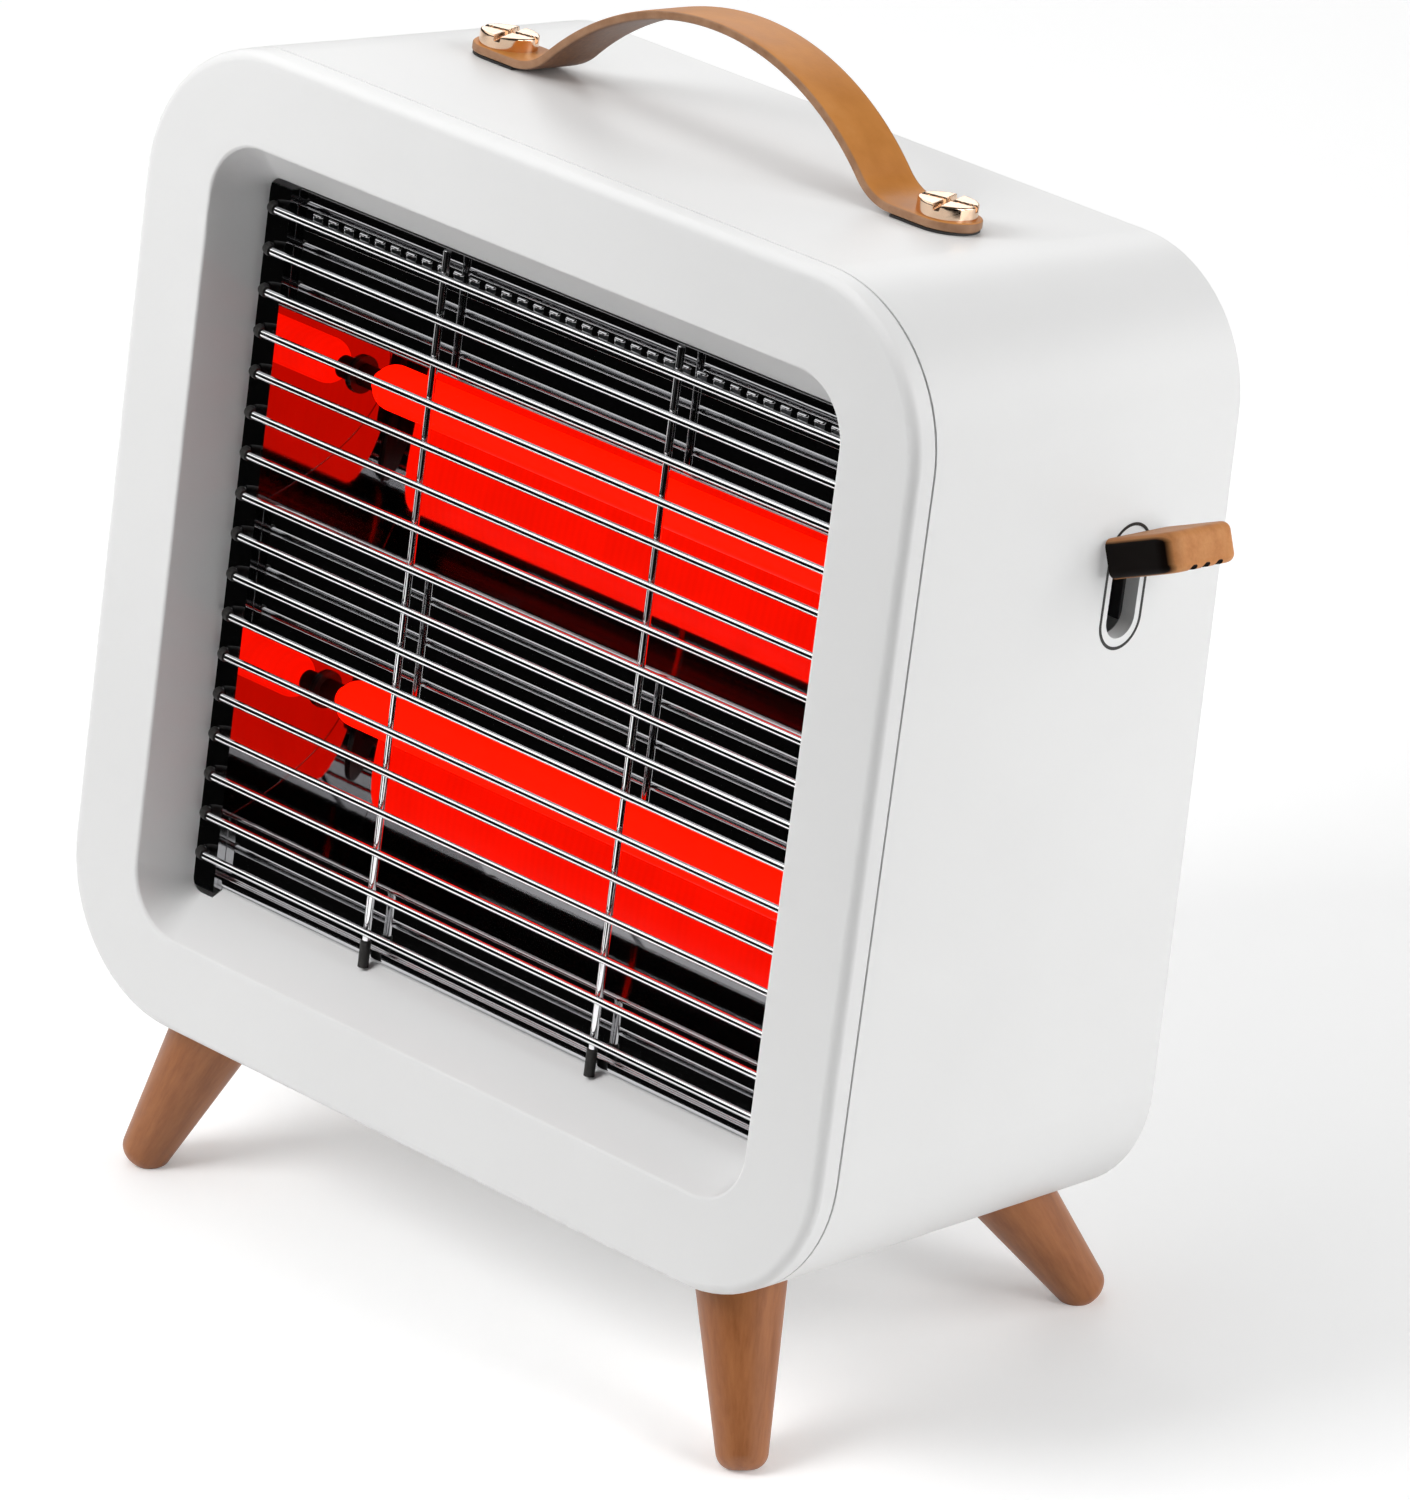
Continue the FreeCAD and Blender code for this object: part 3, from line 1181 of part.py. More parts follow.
def build_rear_cover():
    """The slotted rear cover, set into the back of the case, with its screws and the cord gland."""
    body = new_body("cover")
    drawn = 2 * (cover_drop + d.cover_gap)
    front = -(d.cover_recess + d.cover_thick)
    corner = d.corner_radius - cover_drop - d.cover_gap
    outline = rounded_sketch(body, front, d.body_width - drawn, d.body_height - drawn, corner)
    pad_back(body, outline, d.cover_thick)
    doc.recompute()
    groups = (("top", vent_top_level, d.vent_top_count), ("low", vent_low_level, d.vent_low_count))
    for word, level, count in groups:
        low, high = level - d.vent_height / 2, level + d.vent_height / 2
        sketch = new_sketch(body, "XZ_Plane", -front)
        polygon(sketch, [(-vent_reach, low), (vent_reach, low), (vent_reach, high), (-vent_reach, high)])
        pocket = body.newObject("PartDesign::Pocket", f"vent_{word}")
        pocket.Profile = sketch
        bind(pocket, "Length", d.cover_thick)
        rows = body.newObject("PartDesign::LinearPattern", f"vent_{word}_rows")
        rows.Originals = [pocket]
        rows.Direction = (sketch, ["V_Axis"])
        bind(rows, "Length", d.vent_pitch * (count - 1))
        bind(rows, "Occurrences", count)
        body.Tip = rows
    holes = [rod("gland_hole", "y", d.gland_radius + d.seat_gap,
                 (gland_place, front - d.overrun, gland_level), d.cover_thick + d.overrun * 2)]
    screws = []
    for name, (x, turn) in four_places(d.lug_place, as_size(1)).items():
        z = cover_screw_level(turn)
        holes.append(tapping_bore(f"cover_hole_{name}", x, -d.cover_recess, z))
        screws.append(tapping_screw(f"cover_screw_{name}", x, -d.cover_recess, z))
    node(minus("cover_holed", body, holes), "rear_cover", REAR)
    node(group("cover_screw_set", screws), "rear_cover_screws", REAR)
    start = -d.cover_recess
    flange = rod("gland_flange", "y", d.gland_flange_radius, (gland_place, start, gland_level),
                 d.gland_flange_thick)
    inner_end = start - d.gland_length
    sleeve = rod("gland_sleeve", "y", d.gland_radius, (gland_place, inner_end, gland_level),
                 d.gland_length)
    bore = rod("gland_bore", "y", d.gland_bore, (gland_place, inner_end - d.overrun, gland_level),
               d.gland_length + d.gland_flange_thick + d.overrun * 2)
    node(minus("gland", union("gland_blank", [flange, sleeve]), [bore]), "cord_gland", REAR)


def build_shield_parts():
    """The thermal cut-out and the terminal block on the back of the heat shield."""
    back = d.plate_rear + d.shield_thick
    disc = rod("cutout_disc", "y", d.cutout_radius, (d.cutout_place, back, cutout_level), d.cutout_depth)
    half_tab, half_blade = d.tab_width / 2, d.tab_thick / 2
    blades = []
    for side, hand in SIDES.items():
        x = d.cutout_place + half_tab * hand
        blades.append(block(f"cutout_blade_{side}", (x - half_blade, x + half_blade),
                            (back + d.cutout_depth - half_blade, back + d.cutout_depth + d.tab_length),
                            (cutout_level - half_tab, cutout_level + half_tab)))
    node(union("cutout", [disc] + blades), "thermal_cutout", CASE)
    half_across, half_tall = d.block_width / 2, d.block_height / 2
    housing = block("block_housing", (d.block_place - half_across, d.block_place + half_across),
                    (back, back + d.block_depth), (block_level - half_tall, block_level + half_tall))
    wells = []
    for step in (-1, 0, 1):
        mouth = (d.block_place + d.block_width / 3 * step, back + d.block_depth / 2, block_level)
        wells.append(rod(f"block_well_{step + 1}", "y", d.tapping_head_radius, mouth, d.block_depth))
    node(minus("terminal_housing", housing, wells), "terminal_block", CASE)


def build_tilt_switch():
    """A pendulum on a pin between two cheeks on the floor of the case, which swings away in a fall."""
    half_cheek = d.tilt_cheek_width / 2
    inside = case_solid("tilt_inside", -(d.wall + d.seat_gap))
    cheek_top = tilt_level + d.tilt_cheek_top
    bottom = -half_height
    outer = d.tilt_cheek_place + d.tilt_cheek_thick
    pieces = [block("tilt_base", (-outer, outer), (tilt_depth - d.tilt_base_ahead, tilt_depth + half_cheek),
                    (bottom, tilt_base_top))]
    for side, hand in SIDES.items():
        pieces.append(block(f"tilt_cheek_{side}", ordered(d.tilt_cheek_place * hand, outer * hand),
                            (tilt_depth - half_cheek, tilt_depth + half_cheek), (bottom, cheek_top)))
    bore = rod("tilt_pin_bore", "x", d.tilt_pin_radius + d.pin_fit,
               (-outer - d.overrun, tilt_depth, tilt_level), (outer + d.overrun) * 2)
    fitted = overlap("tilt_fitted", union("tilt_blank", pieces), inside)
    node(minus("tilt_bracket", fitted, [bore]), "tilt_switch_bracket", CASE)
    pin = rod("tilt_pin_rod", "x", d.tilt_pin_radius, (-outer, tilt_depth, tilt_level), outer * 2)
    node(group("tilt_pin", [pin]), "tilt_switch_pin", CASE)
    micro_front = tilt_depth - d.micro_ahead
    micro = block("micro_case", (-d.micro_width / 2, d.micro_width / 2),
                  (micro_front, micro_front + d.micro_depth),
                  (tilt_base_top, tilt_base_top + d.micro_height))
    node(group("micro", [micro]), "tilt_micro_switch", CASE)
    hub_half = d.tilt_cheek_place - d.tilt_hub_gap
    hub = rod("bob_hub", "x", d.tilt_hub_radius, (-hub_half, ZERO, ZERO), hub_half * 2)
    stem = rod("bob_stem", "z", d.bob_rod_radius, (ZERO, ZERO, -d.bob_drop - d.bob_height / 2), d.bob_drop)
    weight = rod("bob_weight", "z", d.bob_radius, (ZERO, ZERO, -d.bob_drop - d.bob_height), d.bob_height)
    hole = rod("bob_bore", "x", d.tilt_pin_radius + d.pin_fit, (-hub_half - d.overrun, ZERO, ZERO),
               (hub_half + d.overrun) * 2)
    hung = minus("bob", union("bob_whole", [hub, stem, weight]), [hole])
    hung.Placement = Placement(LEAN.multVec(Vector(0, tilt_depth.value, tilt_level.value)), Rotation())
    node(hung, "tilt_switch_pendulum")


def check_and_write():
    """Stops if an object failed or a piece is not a sound solid, then writes each piece under its name."""
    doc.recompute()
    for thing in doc.Objects:
        if "Invalid" in thing.State or "Error" in thing.State:
            raise RuntimeError(f"{thing.Name} failed: {thing.State}")
    os.makedirs("parts", exist_ok=True)
    for piece in nodes:
        shape = piece.Shape
        if shape.isNull() or not shape.isValid() or not shape.Solids:
            raise RuntimeError(f"{piece.Label} is not a sound solid")
    for piece in nodes:
        piece.Shape.exportStep(f"parts/{piece.Label}.step")
        print(f"{piece.Label}: {len(piece.Shape.Solids)} solids, volume {piece.Shape.Volume:.0f}")


build_bezel()
build_shell()
build_guard()
build_reflector()
build_tubes()
build_leads()
build_lever()
build_switch()
build_strap()
build_legs()
build_rear_cover()
build_shield_parts()
build_tilt_switch()
check_and_write()
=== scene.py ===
import json
import math

import bmesh
import bpy
import numpy as np
from mathutils import Matrix, Vector


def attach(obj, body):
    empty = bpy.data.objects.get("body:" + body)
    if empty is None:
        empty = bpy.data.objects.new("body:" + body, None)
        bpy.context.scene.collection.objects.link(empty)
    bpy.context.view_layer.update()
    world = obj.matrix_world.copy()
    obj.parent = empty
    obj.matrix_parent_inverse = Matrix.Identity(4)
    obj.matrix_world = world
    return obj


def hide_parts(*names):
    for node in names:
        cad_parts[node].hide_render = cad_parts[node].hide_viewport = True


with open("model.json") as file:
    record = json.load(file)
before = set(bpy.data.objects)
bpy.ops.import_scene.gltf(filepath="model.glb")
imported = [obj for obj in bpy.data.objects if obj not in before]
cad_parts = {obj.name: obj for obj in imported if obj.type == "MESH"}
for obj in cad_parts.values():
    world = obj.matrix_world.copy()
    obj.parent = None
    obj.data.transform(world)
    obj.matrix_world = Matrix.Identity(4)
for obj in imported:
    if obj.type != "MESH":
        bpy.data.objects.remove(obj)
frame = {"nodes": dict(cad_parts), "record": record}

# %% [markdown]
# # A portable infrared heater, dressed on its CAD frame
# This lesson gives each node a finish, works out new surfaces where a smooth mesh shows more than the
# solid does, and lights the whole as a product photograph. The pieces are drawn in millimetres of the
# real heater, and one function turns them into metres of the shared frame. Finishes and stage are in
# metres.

scene = bpy.context.scene
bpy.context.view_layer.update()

# %% [markdown]
# ## The camera
# The photograph was taken with a long lens, from the right and from above. A camera could be aimed with a
# Track To constraint, but a perspective fit of the photograph gave its place, its three angles and its
# focal length, so its axes are worked out and written straight into its matrix.

# %% Camera
PHOTO_WIDTH = 1410
FOCAL_PIXELS = 9413.2
AZIMUTH, ELEVATION, ROLL = 45.156, 26.005, 0.217
CAMERA_PLACE = Vector((1.52255, -1.47970, 1.17214))
SENSOR_WIDTH, CLIP_END = 36.0, 20.0


def camera_axes(azimuth, elevation, roll):
    """Right, up and back vectors: back points along azimuth and elevation, and roll turns the others."""
    a, e, r = (math.radians(v) for v in (azimuth, elevation, roll))
    back = Vector((math.sin(a) * math.cos(e), -math.cos(a) * math.cos(e), math.sin(e)))
    right = Vector((0, 0, 1)).cross(back).normalized()
    up = back.cross(right)
    return right * math.cos(r) + up * math.sin(r), up * math.cos(r) - right * math.sin(r), back


camera_data = bpy.data.cameras.new("camera")
camera_data.sensor_fit = "HORIZONTAL"
camera_data.sensor_width = SENSOR_WIDTH
camera_data.lens = FOCAL_PIXELS / PHOTO_WIDTH * SENSOR_WIDTH
camera_data.clip_end = CLIP_END
camera = bpy.data.objects.new("camera", camera_data)
scene.collection.objects.link(camera)
axes = camera_axes(AZIMUTH, ELEVATION, ROLL)
rows = [[*(axis[i] for axis in axes), CAMERA_PLACE[i]] for i in range(3)]
camera.matrix_world = Matrix(rows + [[0, 0, 0, 1]])
scene.camera = camera
print("camera: lens", round(camera_data.lens, 1), "mm")

# %% [markdown]
# ## From the leaning case to the floor
# The case leans back on its legs. Points could be turned by a parent object; here pieces are drawn in the
# case's own axes, X to the right, Y behind the front face and Z up that face from its centre, because their
# sizes are plain there. One function turns such points into the shared frame. The strap lies on the drafted
# top, so it has a frame of its own on the case.

# %% Frames
LEAN = math.radians(9.6)
AHEAD, HEIGHT = 46.32576, 175.17948
DRAFT = math.radians(2.1)
BEZEL_DEPTH = 7.6
HALF_WIDTH, HALF_HEIGHT = 135.0, 130.0
STRAP_DEPTH = 65.3
MILLIMETRE = 0.001


def from_case(points):
    """Points (x, y, z) of the case: y and z turn by the lean and shift to the floor frame, in metres."""
    x, y, z = np.moveaxis(np.asarray(points, float), -1, 0)
    c, s = math.cos(LEAN), math.sin(LEAN)
    return np.stack([x, y * c + z * s - AHEAD, z * c - y * s + HEIGHT], axis=-1) * MILLIMETRE


def from_top(points):
    """Points on the drafted top: y and z turn by the draft about the strap's line, then follow the case."""
    x, y, z = np.moveaxis(np.asarray(points, float), -1, 0)
    c, s = math.cos(DRAFT), math.sin(DRAFT)
    top = HALF_HEIGHT - math.tan(DRAFT) * (STRAP_DEPTH - BEZEL_DEPTH)
    return from_case(np.stack([x, STRAP_DEPTH + y * c + z * s, top - y * s + z * c], axis=-1))


print("front face centre:", from_case([0, 0, 0]).round(4))

# %% [markdown]
# ## Grids that become meshes
# Every new piece is a grid of points: rows along the piece, columns round it. Primitive meshes could be
# edited by hand instead, but a grid keeps the formula of the shape in view. The helper joins neighbouring
# points with quads, merges points that fall together at poles and seams, and turns the faces outwards. A
# piece takes the finish that has the name of its slot.

# %% Mesh helper
MERGE_DISTANCE, SLIVER_LENGTH = 1e-6, 1e-7
FINISHES = {}


def grid_quads(rows, columns, wrap_rows=False, wrap_columns=False):
    """Four corner numbers for each cell of a grid whose points are numbered row by row."""
    index = np.arange(rows * columns).reshape(rows, columns)
    if wrap_rows:
        index = np.vstack([index, index[:1]])
    if wrap_columns:
        index = np.hstack([index, index[:, :1]])
    corners = [index[:-1, :-1], index[:-1, 1:], index[1:, 1:], index[1:, :-1]]
    return np.stack(corners, axis=-1).reshape(-1, 4)


def copied_quads(quads, points, count):
    """The quads of one grid repeated for count copies of its points."""
    return np.vstack([quads + i * points[..., 0].size for i in range(count)])


def add_piece(name, points, quads, slot, stands_for=(), values=None, sharp=35.0, solid=True):
    """A mesh object from points (n, 3) and quads, smooth but for edges sharper than an angle.

    The faces of a solid piece are turned outwards; an open sheet keeps the side it was drawn with.
    """
    mesh = bpy.data.meshes.new(name)
    mesh.from_pydata(points.reshape(-1, 3).tolist(), [], quads.tolist())
    for key, numbers in (values or {}).items():
        attribute = mesh.attributes.new(key, "FLOAT", "POINT")
        attribute.data.foreach_set("value", np.ravel(numbers).astype(np.float32))
    work = bmesh.new()
    work.from_mesh(mesh)
    bmesh.ops.remove_doubles(work, verts=work.verts, dist=MERGE_DISTANCE)
    bmesh.ops.dissolve_degenerate(work, edges=work.edges, dist=SLIVER_LENGTH)
    if solid:
        bmesh.ops.recalc_face_normals(work, faces=work.faces)
    work.to_mesh(mesh)
    work.free()
    mesh.shade_smooth()
    mesh.set_sharp_from_angle(angle=math.radians(sharp))
    piece = bpy.data.objects.new(name, mesh)
    scene.collection.objects.link(piece)
    mesh.materials.append(FINISHES[slot])
    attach(piece, "case")
    if stands_for:
        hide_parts(*stands_for)
    print(name, "-", len(mesh.polygons), "faces")
    return piece


print("mesh helper ready")

# %% [markdown]
# ## Node helper
# A finish is a small node tree round one Principled shader. The nodes could be wired by hand in the Shader
# editor; here a short class names the few steps that every finish needs: coordinates, a noise, a colour
# ramp and a bump.

# %% Node helper
class Finish:
    """The node tree of one material, with a Principled shader at its end."""

    def __init__(self, name, color, **sockets):
        self.material = bpy.data.materials.new(name)
        self.material.use_nodes = True
        self.tree = self.material.node_tree
        self.shader = next(n for n in self.tree.nodes if n.type == "BSDF_PRINCIPLED")
        self.set("Base Color", (*color, 1.0))
        for socket, value in sockets.items():
            self.set(socket.replace("_", " "), value)
        self.material.diffuse_color = (*color, 1.0)
        self.place = self.add("ShaderNodeTexCoord").outputs["Object"]

    def set(self, socket, value):
        self.shader.inputs[socket].default_value = value

    def add(self, kind, inputs=None, **settings):
        """A node with settings, its inputs filled with numbers or joined to other outputs."""
        node = self.tree.nodes.new(kind)
        for key, value in settings.items():
            setattr(node, key, value)
        for key, value in (inputs or {}).items():
            if isinstance(value, bpy.types.NodeSocket):
                self.tree.links.new(value, node.inputs[key])
            else:
                node.inputs[key].default_value = value
        return node

    def feed(self, socket, output):
        self.tree.links.new(output, self.shader.inputs[socket])

    def stretched(self, scale, turn=(0.0, 0.0, 0.0)):
        """Object coordinates turned and stretched, for lines that run one way."""
        angles = tuple(math.radians(v) for v in turn)
        inputs = {"Vector": self.place, "Rotation": angles, "Scale": scale}
        return self.add("ShaderNodeMapping", inputs).outputs[0]

    def noise(self, scale, detail=3.0, roughness=0.5, at=None):
        inputs = {"Vector": at or self.place, "Scale": scale, "Detail": detail, "Roughness": roughness}
        return self.add("ShaderNodeTexNoise", inputs).outputs["Fac"]

    def ramp(self, factor, *stops):
        """A colour ramp through (position, colour) stops; a single number is a grey."""
        node = self.add("ShaderNodeValToRGB", {"Fac": factor})
        items = node.color_ramp.elements
        while len(items) < len(stops):
            items.new(0.5)
        for item, (position, value) in zip(items, stops):
            item.position = position
            item.color = (*value, 1.0) if isinstance(value, tuple) else (value, value, value, 1.0)
        return node.outputs["Color"]

    def math(self, operation, first, second=0.0):
        return self.add("ShaderNodeMath", {0: first, 1: second}, operation=operation).outputs[0]

    def dot(self, vector, axis):
        node = self.add("ShaderNodeVectorMath", {0: vector, 1: axis}, operation="DOT_PRODUCT")
        return node.outputs["Value"]

    def mix(self, factor, first, second):
        """A mix of two colours, which are inputs 6 and 7 and output 2 of the node."""
        node = self.add("ShaderNodeMix", {"Factor": factor, 6: first, 7: second}, data_type="RGBA")
        return node.outputs[2]

    def bump(self, height, strength, distance):
        node = self.add("ShaderNodeBump", {"Height": height, "Strength": strength, "Distance": distance})
        self.feed("Normal", node.outputs["Normal"])


print("node helper ready")

# %% [markdown]
# ## White moulded plastic
# The bezel and the shell are injection moulded in satin white. A flat white would look like paper, so a
# broad noise shifts the tone by a hair, a fine one varies the gloss, and a very fine bump gives the
# spark-eroded skin of the mould. The rear cover is the same plastic with a coarser skin.

# %% White plastic
def white_plastic(name, grain, depth, gloss):
    f = Finish(name, (0.86, 0.86, 0.855), IOR=1.49, Specular_IOR_Level=0.4)
    tone = f.noise(14.0, 2.0)
    f.feed("Base Color", f.ramp(tone, (0.3, (0.85, 0.85, 0.847)), (0.7, (0.872, 0.872, 0.868))))
    fine = f.noise(grain, 4.0, 0.6)
    f.feed("Roughness", f.ramp(fine, (0.3, gloss - 0.04), (0.7, gloss + 0.05)))
    f.bump(fine, 0.06, depth)
    return f.material


FINISHES["white_plastic"] = white_plastic("white_plastic", 1900.0, 0.00003, 0.4)
FINISHES["white_plastic_rear"] = white_plastic("white_plastic_rear", 1100.0, 0.00008, 0.5)
print("white plastic made")

# %% [markdown]
# ## Black plastic and rubber
# The switch, the brackets and the terminal block are matt black mouldings; pads, gland and wire sleeves are
# rubber. Each could have a recipe of its own, but both are nearly black, and what tells them apart is the
# skin: fine and even on the plastic, cloudy on the rubber. So one function makes both.

# %% Black plastic and rubber
def dark_moulding(name, color, grain, gloss, cloud):
    f = Finish(name, color)
    fog = f.noise(cloud, 3.0)
    f.feed("Base Color", f.ramp(fog, (0.3, color), (0.75, tuple(1.5 * v for v in color))))
    fine = f.noise(grain, 3.0, 0.6)
    f.feed("Roughness", f.ramp(fine, (0.25, gloss - 0.06), (0.75, gloss + 0.08)))
    f.bump(fine, 0.15, 0.00005)
    return f.material


FINISHES["black_plastic"] = dark_moulding("black_plastic", (0.018, 0.018, 0.019), 1400.0, 0.45, 90.0)
FINISHES["dark_rubber"] = dark_moulding("dark_rubber", (0.02, 0.019, 0.018), 900.0, 0.6, 220.0)
print("black plastic and rubber made")

# %% [markdown]
# ## Metals
# Chrome wire, polished reflector sheet, galvanised shield, zinc plated screws and brass blades share one
# recipe: a metallic shader, fine lines left by drawing or rolling that change its gloss, and a slight
# change of tone. The lines could be a wave texture; a noise stretched along the work is less regular. The
# shield adds the crystal spangle of galvanising, which is a Voronoi texture.

# %% Metals
def metal(name, color, gloss, lines, spread=0.03, spangle=0.0):
    f = Finish(name, color, Metallic=1.0)
    streaks = f.noise(1.0, 4.0, 0.6, f.stretched(lines))
    f.feed("Roughness", f.ramp(streaks, (0.3, max(gloss - spread, 0.01)), (0.7, gloss + spread)))
    tone = f.noise(60.0, 2.0)
    if spangle:
        cells = f.add("ShaderNodeTexVoronoi", {"Vector": f.place, "Scale": spangle})
        tone = f.math("FRACT", f.math("MULTIPLY", cells.outputs["Color"], 7.0))
    darkest = 0.78 if spangle else 0.95
    f.feed("Base Color", f.ramp(tone, (0.3, tuple(darkest * v for v in color)), (0.7, color)))
    f.bump(streaks, 0.03, 0.00002)
    return f.material


FINISHES["chrome_wire"] = metal("chrome_wire", (0.88, 0.88, 0.89), 0.05, (40.0, 1500.0, 1500.0), 0.02)
FINISHES["polished_sheet"] = metal("polished_sheet", (0.5, 0.5, 0.51), 0.03, (8.0, 700.0, 700.0), 0.01)
FINISHES["galvanised_sheet"] = metal("galvanised_sheet", (0.55, 0.56, 0.58), 0.4, (90.0, 90.0, 90.0), 0.05,
                                     spangle=140.0)
FINISHES["zinc_steel"] = metal("zinc_steel", (0.62, 0.62, 0.64), 0.3, (900.0, 900.0, 200.0), 0.06)
FINISHES["brass_tab"] = metal("brass_tab", (0.75, 0.58, 0.28), 0.28, (900.0, 200.0, 900.0), 0.05)
print("metals made")

# %% [markdown]
# ## Rose brass
# The two strap screws are turned in pale, rosy brass and polished, with fine rings left by the lathe. The
# rings could be a wave texture round each head; a noise pressed flat along the screw's length is enough,
# faint as it is, because it shows only as a bend in the reflections.

# %% Rose brass
def rose_brass():
    f = Finish("brass_screw", (0.93, 0.66, 0.47), Metallic=1.0)
    tone = f.noise(180.0, 3.0)
    f.feed("Base Color", f.ramp(tone, (0.3, (0.9, 0.62, 0.43)), (0.75, (0.96, 0.72, 0.53))))
    rings = f.noise(1.0, 3.0, 0.5, f.stretched((500.0, 500.0, 2400.0)))
    f.feed("Roughness", f.ramp(rings, (0.3, 0.09), (0.75, 0.19)))
    f.bump(rings, 0.05, 0.00003)
    return f.material


FINISHES["brass_screw"] = rose_brass()
print("rose brass made")

# %% [markdown]
# ## Varnished wood
# Legs and lever are turned and milled from wood: copper-brown under a thin varnish for the legs, paler and
# duller for the lever. Grain is a noise drawn out along the fibre. The legs splay four ways, so the fibre
# would need four mappings; instead the absolute value of X and Y folds the four legs onto one, and dot
# products lay the grain along its axis. The lever's front face gets painted shade, almost black, in its
# colour. A second material would need a cut in the mesh, so the finish looks at the direction of the
# surface instead.

# %% Wood
# painted shade: an almost black colour for the face of the lever that is turned along this axis
FRONT_SHADE_AXIS, PAINTED_FRONT_SHADE = (0.0, -0.99, -0.12), (0.006, 0.003, 0.002)


def wood(name, fibre, tones, shine, front_shade_painted=False):
    """fibre makes coordinates that change slowly along the grain, so that a noise on them runs with it."""
    f = Finish(name, tones[1], Specular_IOR_Level=shine, Coat_Weight=shine / 3, Coat_Roughness=0.2)
    along = fibre(f)
    broad = f.noise(1.0, 3.0, 0.55, along)
    fine = f.noise(5.0, 4.0, 0.65, along)
    grain = f.math("ADD", f.math("MULTIPLY", broad, 0.65), f.math("MULTIPLY", fine, 0.35))
    tone = f.ramp(grain, *zip((0.34, 0.5, 0.66), tones))
    # painted shade: the face turned along the axis is mixed towards almost black, over the grain
    if front_shade_painted:
        facing = f.add("ShaderNodeTexCoord").outputs["Normal"]
        ahead = f.dot(facing, FRONT_SHADE_AXIS)
        tone = f.mix(f.ramp(ahead, (0.5, 0.0), (0.78, 1.0)), tone, (*PAINTED_FRONT_SHADE, 1.0))
    f.feed("Base Color", tone)
    f.feed("Roughness", f.ramp(fine, (0.3, 0.36), (0.7, 0.48)))
    f.bump(fine, 0.08, 0.00004)
    return f.material


def leg_fibre(f):
    """|x| and |y| fold four legs onto one; dot products give two axes across its grain and one along it."""
    folded = f.add("ShaderNodeVectorMath", {0: f.place}, operation="ABSOLUTE").outputs[0]
    turned = [f.dot(folded, axis) for axis in ((260.0, 0.0, 98.0), (0.0, 260.0, 110.0), (0.0, 0.0, 26.0))]
    return f.add("ShaderNodeCombineXYZ", dict(enumerate(turned))).outputs[0]


def lever_fibre(f):
    """Grain along the lever, which points outwards and a little up."""
    return f.stretched((24.0, 250.0, 250.0), (0.0, 22.0, 0.0))


LEG_TONES = (0.28, 0.095, 0.03), (0.36, 0.13, 0.044), (0.42, 0.16, 0.056)
LEVER_TONES = (0.54, 0.22, 0.08), (0.61, 0.265, 0.1), (0.66, 0.31, 0.125)
FINISHES["wood_leg"] = wood("wood_leg", leg_fibre, LEG_TONES, 0.4)
# the lever's front face gets painted shade, almost black
FINISHES["wood_lever"] = wood("wood_lever", lever_fibre, LEVER_TONES, 0.06, front_shade_painted=True)
print("wood made")

# %% [markdown]
# ## Tan leather
# The strap is thick vegetable-tanned leather: smooth tan on top, rough brown flesh side below, and edges
# that were burnished until they went grey-brown. Three materials could be laid on its faces; here its mesh
# carries two values from its own formula, how near a point is to the edge and whether it is on the flesh
# side, and one finish reads them as attributes. Pores are a fine Voronoi bump.

# %% Leather
def leather():
    f = Finish("tan_leather", (0.58, 0.24, 0.06), Roughness=0.42, Specular_IOR_Level=0.3)
    edge = f.add("ShaderNodeAttribute", attribute_name="edge").outputs["Fac"]
    flesh = f.add("ShaderNodeAttribute", attribute_name="flesh").outputs["Fac"]
    cloud = f.noise(55.0, 4.0, 0.6)
    tans = (0.5, 0.19, 0.04), (0.585, 0.235, 0.055), (0.66, 0.29, 0.085)
    tan = f.ramp(cloud, *zip((0.28, 0.5, 0.75), tans))
    fuzz = f.ramp(f.noise(700.0, 4.0, 0.7), (0.3, (0.12, 0.05, 0.022)), (0.7, (0.2, 0.09, 0.04)))
    rim = f.ramp(f.noise(240.0, 3.0), (0.3, (0.27, 0.14, 0.075)), (0.7, (0.38, 0.215, 0.125)))
    f.feed("Base Color", f.mix(edge, f.mix(flesh, tan, fuzz), rim))
    pores = f.add("ShaderNodeTexVoronoi", {"Vector": f.place, "Scale": 1500.0}).outputs["Distance"]
    f.feed("Roughness", f.ramp(cloud, (0.3, 0.38), (0.7, 0.5)))
    f.bump(f.math("ADD", pores, f.math("MULTIPLY", f.noise(420.0, 3.0), 0.8)), 0.14, 0.00012)
    return f.material


FINISHES["tan_leather"] = leather()
print("leather made")

# %% [markdown]
# ## Ceramic and braid
# The tube ends sit in dark glazed ceramic collars, and the leads between them are sleeved in woven glass.
# Both are hardly seen, so plain colours would nearly do. The glaze is mottled under a gloss coat; the
# braid is two crossed waves.

# %% Ceramic and braid
def ceramic():
    f = Finish("steatite", (0.03, 0.026, 0.022), Roughness=0.3, Coat_Weight=0.4, Coat_Roughness=0.15)
    spots = f.noise(420.0, 4.0, 0.7)
    f.feed("Base Color", f.ramp(spots, (0.35, (0.02, 0.017, 0.014)), (0.7, (0.05, 0.042, 0.034))))
    f.bump(spots, 0.1, 0.00008)
    return f.material


